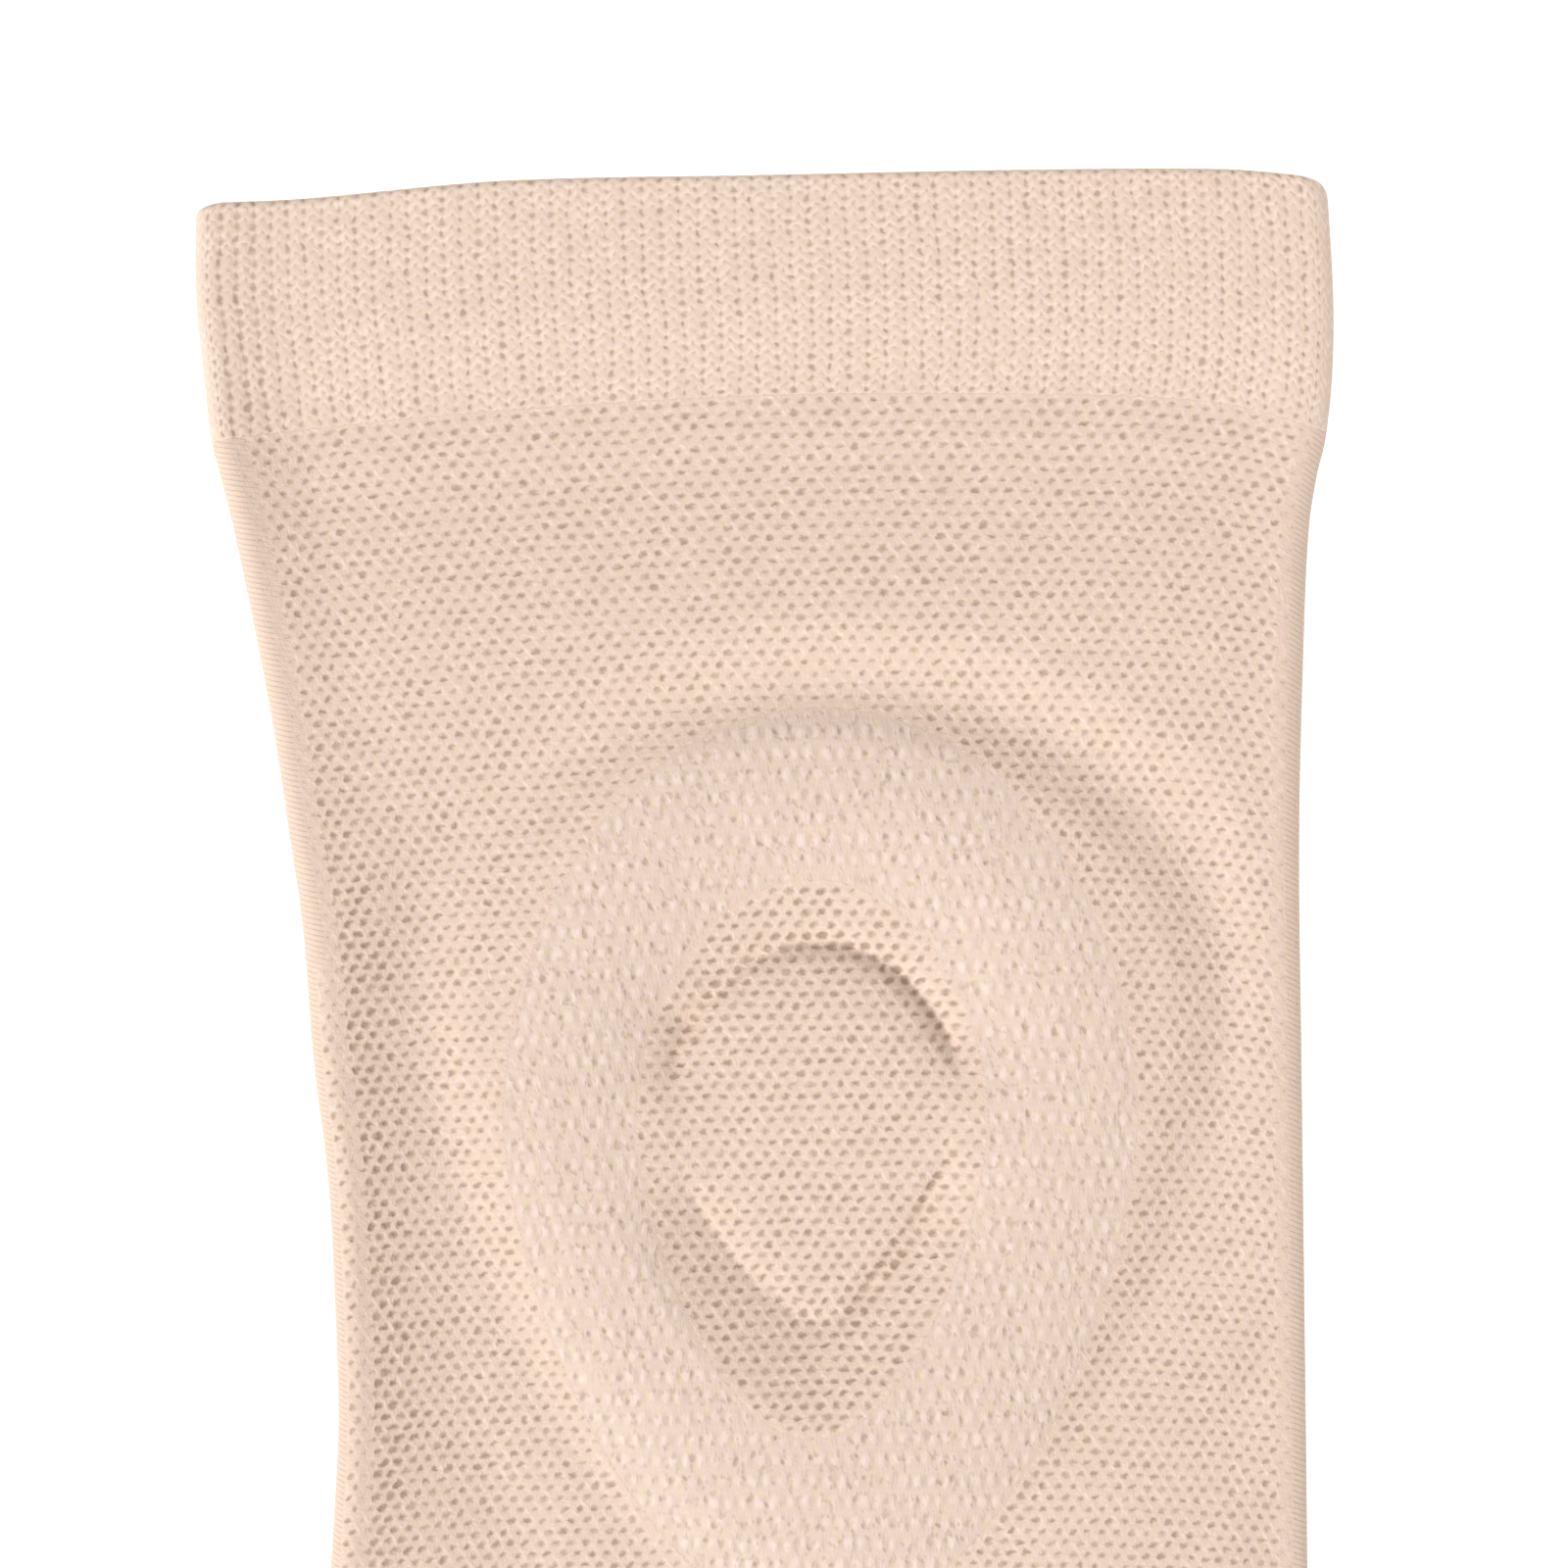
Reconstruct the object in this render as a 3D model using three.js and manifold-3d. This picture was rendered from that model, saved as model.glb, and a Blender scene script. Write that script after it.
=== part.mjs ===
// Knee compression sleeve, laid flat on a table with its front up.
//
// The sleeve is a knitted tube: a mesh-knit body between a thigh welt and a calf welt, with an
// oval pressure pad round the kneecap. Laid flat, the tube lies in two layers that meet in a
// rolled fold at each side, and the pad lifts the front layer.
//
// Units are millimetres. +X is the sleeve's width, +Y runs up to the thigh end, +Z is up from
// the table, and the origin is on the table under the middle of the whole sleeve.

import * as THREE from "three";
import { mergeVertices } from "three/addons/utils/BufferGeometryUtils.js";
import Module from "manifold-3d";

const wasm = await Module();
wasm.setup();

// ---------------------------------------------------------------------------
// Driving sizes
// ---------------------------------------------------------------------------

const bodyWall = 1.6; // thickness of the mesh knit
const weltWall = 2.4; // thickness of a welt, which is the knit turned double
const seamGap = 0.3; // clearance where two pieces are joined
const bodyAir = 0.7; // air between the front and the back layer of the body
const weltAir = 0.4; // and of a welt
const flapWidth = 3; // how far the front runs in under each fold
const bodyHeight = 2 * bodyWall + bodyAir; // top of the body where it lies flat
const weltHeight = 2 * weltWall + weltAir; // top of a welt where it lies flat
const weltTaper = 3; // length over which a welt thins towards the body
const weltThinning = 0.5; // how much of its outer face a welt loses at the body

// The flattened tube, one row for each section across it. For its left and its right edge,
// "Fold" is the height of the rolled fold, "Depth" how far the fold's round reaches in, and
// "Roll" how far past that the cloth takes to come down to where it lies.
const leftSections = [
  { y: 142.5, left: -87.0, leftFold: 6.6, leftDepth: 3.0, leftRoll: 13 },
  { y: 124.0, left: -87.2, leftFold: 6.8, leftDepth: 3.0, leftRoll: 13 },
  { y: 111.5, left: -86.0, leftFold: 6.9, leftDepth: 3.0, leftRoll: 13 },
  { y: 101.0, left: -84.8, leftFold: 7.0, leftDepth: 3.0, leftRoll: 13 },
  { y: 95.5, left: -83.4, leftFold: 7.1, leftDepth: 3.0, leftRoll: 13 },
  { y: 87.5, left: -81.4, leftFold: 7.2, leftDepth: 3.0, leftRoll: 13 },
  { y: 71.0, left: -77.9, leftFold: 7.5, leftDepth: 2.8, leftRoll: 13 },
  { y: 56.0, left: -75.1, leftFold: 7.7, leftDepth: 2.8, leftRoll: 14 },
  { y: 40.0, left: -72.7, leftFold: 7.8, leftDepth: 2.8, leftRoll: 17 },
  { y: 26.0, left: -70.7, leftFold: 7.8, leftDepth: 3.2, leftRoll: 18 },
  { y: 6.0, left: -69.1, leftFold: 7.8, leftDepth: 3.6, leftRoll: 18 },
  { y: -12.0, left: -66.9, leftFold: 7.8, leftDepth: 3.6, leftRoll: 17 },
  { y: -34.0, left: -65.7, leftFold: 7.8, leftDepth: 3.6, leftRoll: 17 },
  { y: -49.0, left: -65.3, leftFold: 7.8, leftDepth: 3.6, leftRoll: 20 },
  { y: -61.0, left: -65.8, leftFold: 7.8, leftDepth: 3.6, leftRoll: 24 },
  { y: -72.0, left: -66.5, leftFold: 7.6, leftDepth: 3.6, leftRoll: 28 },
  { y: -90.0, left: -67.5, leftFold: 7.2, leftDepth: 3.4, leftRoll: 22 },
  { y: -105.0, left: -67.8, leftFold: 6.6, leftDepth: 3.2, leftRoll: 16 },
  { y: -112.0, left: -67.0, leftFold: 6.4, leftDepth: 3.0, leftRoll: 13 },
  { y: -142.5, left: -66.4, leftFold: 6.2, leftDepth: 3.0, leftRoll: 13 },
];
const rightSections = [
  { y: 142.5, right: 86.2, rightFold: 5.0, rightDepth: 3.2 },
  { y: 124.0, right: 87.3, rightFold: 5.0, rightDepth: 3.2 },
  { y: 111.5, right: 87.2, rightFold: 5.0, rightDepth: 3.4 },
  { y: 101.0, right: 86.1, rightFold: 5.0, rightDepth: 3.8 },
  { y: 95.5, right: 84.8, rightFold: 5.1, rightDepth: 4.0 },
  { y: 87.5, right: 83.6, rightFold: 5.4, rightDepth: 4.2 },
  { y: 71.0, right: 82.8, rightFold: 5.8, rightDepth: 4.4 },
  { y: 40.0, right: 82.1, rightFold: 5.6, rightDepth: 4.4 },
  { y: 6.0, right: 82.5, rightFold: 4.7, rightDepth: 4.2 },
  { y: -34.0, right: 83.0, rightFold: 4.3, rightDepth: 4.2 },
  { y: -72.0, right: 83.4, rightFold: 4.3, rightDepth: 4.2 },
  { y: -90.0, right: 83.3, rightFold: 4.4, rightDepth: 4.0 },
  { y: -105.0, right: 82.8, rightFold: 4.8, rightDepth: 3.8 },
  { y: -112.0, right: 82.0, rightFold: 5.0, rightDepth: 3.6 },
  { y: -142.5, right: 81.4, rightFold: 5.0, rightDepth: 3.6 },
];
const rightRoll = 9;
const rollStart = 0.6; // how gently the left roll starts to come down: 0 is steepest, 2 level

// The lines across the sleeve, one row for each place across it: the thigh hem and the seam
// under its welt, then the seam over the calf welt and the calf hem.
const lines = [
  { x: -87, thighHem: 137.0, thighSeam: 100.2, calfSeam: -110.5, calfHem: -142.7 },
  { x: -70, thighHem: 138.0, thighSeam: 102.6, calfSeam: -109.6, calfHem: -142.4 },
  { x: -40, thighHem: 140.7, thighSeam: 105.5, calfSeam: -108.7, calfHem: -141.9 },
  { x: 0, thighHem: 141.6, thighSeam: 107.8, calfSeam: -108.3, calfHem: -141.5 },
  { x: 40, thighHem: 142.4, thighSeam: 108.0, calfSeam: -108.5, calfHem: -141.8 },
  { x: 70, thighHem: 142.5, thighSeam: 106.6, calfSeam: -109.4, calfHem: -142.3 },
  { x: 87, thighHem: 141.4, thighSeam: 102.0, calfSeam: -110.5, calfHem: -142.7 },
];

// The ovals of the kneecap pad, widest at y. Each reaches "above" and "below" that line,
// narrows by "taper" towards its lower end, and has a lower end as pointed as "point" says
// (2 is a plain ellipse, less is more pointed).
const padBase = { x: 9.3, y: 12.0, half: 63.5, above: 51.5, below: 97.0, taper: 0.22, point: 2 };
const inlay = { x: 8.6, y: -4.2, half: 48.4, above: 64.2, below: 75.8, taper: 0.15, point: 2 };
const crest = { x: 8.5, y: -1.2, half: 41.5, above: 48.5, below: 57.0, taper: 0.2, point: 2 };
const opening = { x: 7.3, y: -4.2, half: 26.9, above: 38.0, below: 47.4, taper: 0.18, point: 2 };
const shield = { x: 8.0, y: -4.2, half: 23.0, above: 28.2, below: 30.0, taper: 0, point: 1.4 };

const crownRise = 3.6; // pad's crown over the lying cloth
const creaseRise = -0.2; // foot of the crease inside the ring
const sideDepth = 0.28; // share of that depth left at the sides, where the crease runs out
const brim = { share: 0.55, width: 11.5 }; // the steeper start of the outer slope, and its share of the rise
const innerStart = { upper: 0.08, lower: 0.32 }; // where the slope inside the crest starts
const innerPower = { upper: 1.5, lower: 1.2 }; // how much of its fall is at its foot
const innerChange = { from: -30, to: 30 }; // y over which the lower form gives way to the upper
const domeRise = { upper: 2.3, lower: 0.8, from: -34, to: 16 }; // leaning cloth in the crease
const domePower = 7; // how steeply its edge rises from the crease
const sideFade = { from: 0.05, to: 0.55 }; // slant over which the crease runs out at the sides
const padGap = 1.2; // room between the pad's hidden flanks and the cloth over them
const padInset = 1; // how far the pad's own opening keeps clear of the crease

// Cloth between the pad and the thigh welt: it rises from both of them.
const hump = { rise: 2, fromPad: 14, fromSeam: 32, start: 4, from: -25, to: 40 };
const bead = { rise: 0.22, below: 6, width: 3.2 }; // fine ridge along under each welt

// Soft ridges (rise over 0) and troughs (rise under 0) of the lying cloth, each along a line
// from start to end.
const creases = [
  { from: [86, -27], to: [40, -68], width: 4.2, rise: 1.1 },
  { from: [86, -42], to: [48, -80], width: 4.2, rise: -0.4 },
  { from: [-48, -50], to: [-30, -82], width: 6, rise: -0.35 },
  { from: [-20, -96], to: [36, -92], width: 9, rise: 0.6 },
];

// Round swells and dimples of the cloth.
const swells = [
  { x: -12.4, y: 12.2, radius: 2.4, rise: -0.6 },
  { x: 28.0, y: 11.5, radius: 2.4, rise: -0.4 },
  { x: 60.0, y: -88.0, radius: 30, rise: 2.6 },
];

// ---------------------------------------------------------------------------
// Reading the tables
// ---------------------------------------------------------------------------

// Smooth value of one column of a table, at a place along its "by" column.
function readTable(table, by, column, at) {
  const rows = [...table].sort((a, b) => a[by] - b[by]);
  const last = rows.length - 1;
  const place = clamp(at, rows[0][by], rows[last][by]);
  let i = 0;
  while (i < last - 1 && rows[i + 1][by] < place) i += 1;
  const slope = (k) => {
    const a = rows[Math.max(0, k - 1)];
    const b = rows[Math.min(last, k + 1)];
    return (b[column] - a[column]) / (b[by] - a[by]);
  };
  const step = rows[i + 1][by] - rows[i][by];
  const t = (place - rows[i][by]) / step;
  const rise = rows[i + 1][column] - rows[i][column];
  const bendIn = slope(i) * step - rise;
  const bendOut = rise - slope(i + 1) * step;
  return rows[i][column] + rise * t + t * (1 - t) * (bendIn * (1 - t) + bendOut * t);
}

const atLeft = (column, y) => readTable(leftSections, "y", column, y);
const atRight = (column, y) => readTable(rightSections, "y", column, y);
const lineAt = (column, x) => readTable(lines, "x", column, x);
const { clamp, lerp } = THREE.MathUtils;
const smooth = (t) => THREE.MathUtils.smoothstep(t, 0, 1);
const ramp = (t, { from, to }) => smooth((t - from) / (to - from));

// ---------------------------------------------------------------------------
// Ovals
// ---------------------------------------------------------------------------

const leastNarrowing = 0.4; // keeps a tapered oval from closing far below its end

// 1 on an oval's outline, less inside it and more outside.
function ovalSize(oval, x, y) {
  const reach = y > oval.y ? oval.above : oval.below;
  const s = (y - oval.y) / reach;
  const narrowing = Math.max(leastNarrowing, 1 + oval.taper * Math.min(0, s));
  const power = y > oval.y ? 2 : oval.point;
  const w = Math.abs(x - oval.x) / (oval.half * narrowing);
  return (w ** power + Math.abs(s) ** power) ** (1 / power);
}

// A point of an oval's outline, moved out by "grow".
function ovalPoint(oval, angle, grow = 0) {
  const c = Math.cos(angle);
  const s = Math.sin(angle);
  const power = 2 / (s > 0 ? 2 : oval.point);
  const up = Math.sign(s) * Math.abs(s) ** power;
  const side = Math.sign(c) * Math.abs(c) ** power;
  const reach = (s > 0 ? oval.above : oval.below) + grow;
  const narrowing = 1 + oval.taper * Math.min(0, up);
  const half = oval.half * narrowing + grow;
  return new THREE.Vector2(oval.x + half * side, oval.y + reach * up);
}

// ---------------------------------------------------------------------------
// The height of the front layer's top face
// ---------------------------------------------------------------------------

function padRise(x, y) {
  const inBase = 1 - ovalSize(padBase, x, y);
  if (inBase <= 0) return 0;
  const inCrest = 1 - ovalSize(crest, x, y);
  if (inCrest <= 0) {
    const whole = smooth(inBase / (inBase - inCrest));
    const start = smooth((inBase * padBase.half) / brim.width);
    return crownRise * lerp(whole, start, brim.share);
  }

  // How deep the crease is here: full above and below, less at the sides.
  const shieldSize = ovalSize(shield, x, y);
  const reach = y > shield.y ? shield.above : shield.below;
  const upright = Math.abs(y - shield.y) / reach / Math.max(shieldSize, 1e-6);
  const depth = lerp(sideDepth, 1, ramp(upright, sideFade));
  const foot = lerp(crownRise, creaseRise, depth);

  if (shieldSize >= 1) {
    const up = ramp(y, innerChange);
    const start = lerp(innerStart.lower, innerStart.upper, up);
    const fromCrest = (inCrest * crest.half) / shield.half;
    const share = fromCrest / (fromCrest + shieldSize - 1);
    const power = lerp(innerPower.lower, innerPower.upper, up);
    const fall = clamp((share - start) / (1 - start), 0, 1) ** power;
    return lerp(crownRise, foot, fall);
  }
  const dome = lerp(domeRise.lower, domeRise.upper, ramp(y, domeRise));
  return lerp(dome, foot, shieldSize ** domePower);
}

function humpHeight(x, y) {
  const fromPad = (ovalSize(padBase, x, y) - 1) * padBase.half;
  const fromSeam = lineAt("thighSeam", x) - hump.start - y;
  return hump.rise * ramp(y, hump) * smooth(fromPad / hump.fromPad) * smooth(fromSeam / hump.fromSeam);
}

function beadHeight(x, y) {
  const fromThigh = (lineAt("thighSeam", x) - bead.below - y) / bead.width;
  const fromCalf = (y - lineAt("calfSeam", x) - bead.below) / bead.width;
  return bead.rise * (Math.exp(-(fromThigh ** 2)) + Math.exp(-(fromCalf ** 2)));
}

function creaseHeight(x, y) {
  let height = 0;
  for (const { from, to, width, rise } of creases) {
    const run = [to[0] - from[0], to[1] - from[1]];
    const length = Math.hypot(...run);
    const along = ((x - from[0]) * run[0] + (y - from[1]) * run[1]) / length ** 2;
    const off = ((x - from[0]) * run[1] - (y - from[1]) * run[0]) / length;
    const taper = Math.exp(-((2 * along - 1) ** 4));
    height += rise * taper * Math.exp(-((off / width) ** 2));
  }
  for (const swell of swells) {
    const off = Math.hypot(x - swell.x, y - swell.y) / swell.radius;
    height += swell.rise * Math.exp(-(off ** 2));
  }
  return height;
}

const bodyTop = (x, y) =>
  bodyHeight + padRise(x, y) + humpHeight(x, y) + beadHeight(x, y) + creaseHeight(x, y);
const weltTop = () => weltHeight;

// Top face of the front layer, which "lying" gives away from the folds.
function topHeight(x, y, lying) {
  const fromLeft = x - atLeft("left", y) - atLeft("leftDepth", y);
  const fromRight = atRight("right", y) - atRight("rightDepth", y) - x;
  const leftPast = clamp(fromLeft / atLeft("leftRoll", y), 0, 1);
  const leftShare = (1 - leftPast) ** 2 * (1 + rollStart * leftPast);
  const rightShare = 1 - smooth(fromRight / rightRoll);
  const rolled = lerp(lying(x, y), atLeft("leftFold", y), leftShare);
  return lerp(rolled, atRight("rightFold", y), rightShare);
}

// ---------------------------------------------------------------------------
// Closed skins
// ---------------------------------------------------------------------------

// Joins rings of points, each the next one's neighbour, into one closed skin. A ring of one
// point is a pole. The ends are joined to each other ("loop"), or closed as flat strips
// between the first and the second half of the end ring ("strip"), or left to their poles.
function skin(rings, ends) {
  const corners = [];
  const face = (a, b, c) => corners.push(a, b, c);
  const joined = ends === "loop" ? rings.length : rings.length - 1;
  for (let r = 0; r < joined; r += 1) {
    const a = rings[r];
    const b = rings[(r + 1) % rings.length];
    const count = Math.max(a.length, b.length);
    for (let i = 0; i < count; i += 1) {
      const j = (i + 1) % count;
      if (a.length === 1) face(a[0], b[j], b[i]);
      else if (b.length === 1) face(a[i], a[j], b[0]);
      else {
        face(a[i], a[j], b[j]);
        face(a[i], b[j], b[i]);
      }
    }
  }
  if (ends === "strip") {
    const first = rings[0];
    const final = rings[rings.length - 1];
    const count = first.length;
    for (let i = 0; i < count / 2 - 1; i += 1) {
      const o = count - 1 - i;
      face(first[i], first[o], first[o - 1]);
      face(first[i], first[o - 1], first[i + 1]);
      face(final[i], final[o - 1], final[o]);
      face(final[i], final[i + 1], final[o - 1]);
    }
  }
  const geometry = new THREE.BufferGeometry().setFromPoints(corners);
  return mergeVertices(geometry, 1e-4);
}

function toSolid(geometry) {
  const bare = geometry.clone();
  bare.deleteAttribute("normal");
  bare.deleteAttribute("uv");
  const merged = mergeVertices(bare, 1e-4);
  return new wasm.Manifold(
    new wasm.Mesh({
      numProp: 3,
      vertProperties: new Float32Array(merged.attributes.position.array),
      triVerts: new Uint32Array(merged.index.array),
    }),
  );
}

function fromSolid(solid) {
  const { vertProperties, triVerts } = solid.getMesh();
  const geometry = new THREE.BufferGeometry();
  geometry.setAttribute("position", new THREE.BufferAttribute(vertProperties, 3));
  geometry.setIndex(new THREE.BufferAttribute(triVerts, 1));
  return geometry;
}

// ---------------------------------------------------------------------------
// Sections across the flattened tube
// ---------------------------------------------------------------------------

const foldSteps = 5; // segments in each fold's half circle
const rollStops = [0.2, 0.45, 0.72]; // where the top is cut within a fold's roll

// Where the line y = lineY(x) meets an edge of the flattened tube.
function edgeOn(lineY, edgeAt) {
  let x = edgeAt(lineY(0));
  for (let i = 0; i < 4; i += 1) x = edgeAt(lineY(x));
  return x;
}

// Both folds on such a line: the edge, half the height, the depth and the reach of the roll.
function foldsOn(lineY) {
  const left = edgeOn(lineY, (y) => atLeft("left", y));
  const right = edgeOn(lineY, (y) => atRight("right", y));
  const leftY = lineY(left);
  const rightY = lineY(right);
  return {
    left: {
      edge: left,
      half: atLeft("leftFold", leftY) / 2,
      depth: atLeft("leftDepth", leftY),
      roll: atLeft("leftRoll", leftY),
    },
    right: {
      edge: right,
      half: atRight("rightFold", rightY) / 2,
      depth: atRight("rightDepth", rightY),
      roll: rightRoll,
    },
  };
}

// Places across the top between the folds' tops, closer together in the folds' rolls.
function topStops({ left, right }, middleSteps) {
  const from = left.edge + left.depth;
  const to = right.edge - right.depth;
  const stops = rollStops.map((share) => from + share * left.roll);
  const middleFrom = from + left.roll;
  const middleTo = to - right.roll;
  for (let i = 0; i <= middleSteps; i += 1) {
    stops.push(middleFrom + ((middleTo - middleFrom) * i) / middleSteps);
  }
  for (const share of [...rollStops].reverse()) stops.push(to - share * right.roll);
  return stops;
}

// Half round of a fold from its lower end to its upper one, moved in by "inset".
// "side" is -1 at the left edge and 1 at the right one.
function foldArc({ edge, half, depth }, side, inset) {
  const points = [];
  for (let i = 0; i <= foldSteps; i += 1) {
    const turn = -Math.PI / 2 + (Math.PI * i) / foldSteps;
    const x = edge - side * (depth - (depth - inset) * Math.cos(turn));
    points.push([x, half + (half - inset) * Math.sin(turn)]);
  }
  return points;
}

// The section along a line, from the lower end of the left fold over the top to the lower
// end of the right one. "inset" moves it in by a wall.
function sectionOver(lineY, lying, inset, middleSteps) {
  const folds = foldsOn(lineY);
  const top = topStops(folds, middleSteps).map((x) => [x, topHeight(x, lineY(x), lying) - inset]);
  return [...foldArc(folds.left, -1, inset), ...top, ...foldArc(folds.right, 1, inset).reverse()];
}

const onLine = (lineY) => ([x, z]) => new THREE.Vector3(x, lineY(x), z);

// ---------------------------------------------------------------------------
// Front and back of the body
// ---------------------------------------------------------------------------

const bodyRows = 40;
const frontSteps = 24;
const backRows = 18;
const backColumns = 8;

// The line across the body at a share of the way from the calf seam to the thigh seam.
function bodyLine(share) {
  return (x) => {
    const from = lineAt("calfSeam", x) + seamGap / 2;
    const to = lineAt("thighSeam", x) - seamGap / 2;
    return from + (to - from) * share;
  };
}

// The front: its top, both folds, and a flap that runs in under each fold.
function frontGeometry() {
  const rings = [];
  for (let r = 0; r <= bodyRows; r += 1) {
    const lineY = bodyLine(r / bodyRows);
    const { left, right } = foldsOn(lineY);
    const wallFace = (inset) => [
      [left.edge + left.depth + flapWidth, inset],
      ...sectionOver(lineY, bodyTop, inset, frontSteps),
      [right.edge - right.depth - flapWidth, inset],
    ];
    rings.push([...wallFace(0), ...wallFace(bodyWall).reverse()].map(onLine(lineY)));
  }
  return skin(rings, "strip");
}

// The back: a flat layer on the table, between the front's two flaps.
function backGeometry() {
  const rings = [];
  for (let r = 0; r <= backRows; r += 1) {
    const lineY = bodyLine(r / backRows);
    const { left, right } = foldsOn(lineY);
    const from = left.edge + left.depth + flapWidth + seamGap;
    const to = right.edge - right.depth - flapWidth - seamGap;
    const face = (z) =>
      Array.from({ length: backColumns + 1 }, (_, i) => [from + ((to - from) * i) / backColumns, z]);
    rings.push([...face(bodyWall), ...face(0).reverse()].map(onLine(lineY)));
  }
  return skin(rings, "strip");
}

// ---------------------------------------------------------------------------
// Welts
// ---------------------------------------------------------------------------

const weltSteps = 14;
const weltStations = [0.35, 0.7]; // cuts along a welt between its taper and its hem
const hemTurns = [90, 45, 0, -45, -90]; // degrees round the turned hem, outer to inner face

// A welt: a flattened tube between its seam and its hem, with the hem turned over round.
function weltGeometry(seam, hem) {
  const towardsHem = Math.sign(lineAt(hem, 0) - lineAt(seam, 0));
  const hemRadius = weltWall / 2;
  const lineBetween = (share, shift) => (x) => {
    const from = lineAt(seam, x);
    return from + (lineAt(hem, x) - from) * share + towardsHem * shift;
  };
  const stations = [
    { share: 0, shift: seamGap / 2, inset: weltThinning },
    { share: 0, shift: weltTaper, inset: 0 },
    ...weltStations.map((share) => ({ share, shift: 0, inset: 0 })),
    ...hemTurns.map(THREE.MathUtils.degToRad).map((turn) => ({
      share: 1,
      shift: hemRadius * (Math.cos(turn) - 1),
      inset: hemRadius * (1 - Math.sin(turn)),
    })),
    { share: 0, shift: seamGap / 2, inset: weltWall },
  ];
  const rings = stations.map(({ share, shift, inset }) => {
    const lineY = lineBetween(share, shift);
    const over = sectionOver(lineY, weltTop, inset, weltSteps);
    const under = topStops(foldsOn(lineY), weltSteps).map((x) => [x, inset]);
    return [...over, ...under.reverse()].map(onLine(lineY));
  });
  return skin(towardsHem > 0 ? rings : rings.reverse(), "loop");
}

// ---------------------------------------------------------------------------
// The kneecap pad: ring and window
// ---------------------------------------------------------------------------

const ringSides = 48;
const angles = Array.from({ length: ringSides }, (_, i) => (2 * Math.PI * i) / ringSides);
const padFloor = bodyWall + seamGap; // underside of the pad, over the back layer
const coverStations = [0, 0.12, 0.28, 0.46, 0.66, 0.84, 1]; // across the ring, outside to inside
const flankStations = [0, 0.25, 0.5, 0.75, 1]; // across the whole pad, outside to inside

const topFace = (x, y) => topHeight(x, y, bodyTop);

// A ring of points at a share of the way from one oval to another, at the height that
// "height" gives.
function ringBetween(outer, inner, share, height) {
  return angles.map((angle) => {
    const at = outer(angle).lerp(inner(angle), share);
    return new THREE.Vector3(at.x, at.y, height(at.x, at.y));
  });
}

// A solid band between two ovals, with a shaped top and a flat underside.
function bandSolid(outer, inner, stations, height, floor) {
  const top = stations.map((share) => ringBetween(outer, inner, share, height));
  const under = [1, 0].map((share) => ringBetween(outer, inner, share, () => floor));
  return toSolid(skin([...top, ...under], "loop"));
}

// The ring: its knitted cover, and under it the pad, whose flanks run out under the front
// and in under the window.
function ringGeometry() {
  const cover = bandSolid(
    (angle) => ovalPoint(inlay, angle),
    (angle) => ovalPoint(opening, angle),
    coverStations,
    topFace,
    padFloor,
  );
  const flanks = bandSolid(
    (angle) => ovalPoint(padBase, angle),
    (angle) => ovalPoint(shield, angle, padInset),
    flankStations,
    (x, y) => topFace(x, y) - bodyWall - padGap,
    -padFloor,
  );
  const reach = 3 * padBase.below;
  const overFloor = new THREE.BoxGeometry(reach, reach, reach).translate(0, 0, padFloor + reach / 2);
  return fromSolid(flanks.intersect(toSolid(overFloor)).add(cover));
}

const shieldShares = [0.35, 0.62, 0.8, 0.92, 1]; // from the window's middle out to the crease
const slopeShares = [0.5, 1]; // from the crease out to the window's edge

// The window: one layer of mesh knit, level inside the crease and rising outside it.
function windowGeometry() {
  const middle = () => new THREE.Vector2(shield.x, shield.y);
  const atCrease = (angle) => ovalPoint(shield, angle);
  const atEdge = (angle) => ovalPoint(opening, angle, -seamGap);
  const face = (inset) => {
    const height = (x, y) => topFace(x, y) - inset;
    return [
      [new THREE.Vector3(shield.x, shield.y, height(shield.x, shield.y))],
      ...shieldShares.map((share) => ringBetween(middle, atCrease, share, height)),
      ...slopeShares.map((share) => ringBetween(atCrease, atEdge, share, height)),
    ];
  };
  return skin([...face(bodyWall), ...face(0).reverse()], "poles");
}

// The opening in the front that the ring fills.
function cutForRing(geometry) {
  const outline = new THREE.Shape(angles.map((angle) => ovalPoint(inlay, angle, seamGap)));
  const depth = 4 * crownRise;
  const cutter = new THREE.ExtrudeGeometry(outline, { depth, bevelEnabled: false });
  return fromSolid(toSolid(geometry).subtract(toSolid(cutter)));
}

// ---------------------------------------------------------------------------
// The sleeve
// ---------------------------------------------------------------------------

const sleeve = new THREE.Group();

function addPiece(name, geometry, color, roughness) {
  const material = new THREE.MeshStandardMaterial({ color, roughness, metalness: 0 });
  const mesh = new THREE.Mesh(geometry, material);
  mesh.name = name;
  sleeve.add(mesh);
}

addPiece("front_panel", cutForRing(frontGeometry()), 0xe8cebb, 0.92);
addPiece("back_panel", backGeometry(), 0xe8cebb, 0.92);
addPiece("thigh_welt", weltGeometry("thighSeam", "thighHem"), 0xecd2c0, 0.9);
addPiece("calf_welt", weltGeometry("calfSeam", "calfHem"), 0xecd2c0, 0.9);
addPiece("patella_ring", ringGeometry(), 0xe9d0bf, 0.88);
addPiece("patella_window", windowGeometry(), 0xe6ccba, 0.92);

export default sleeve;
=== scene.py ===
import math

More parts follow.
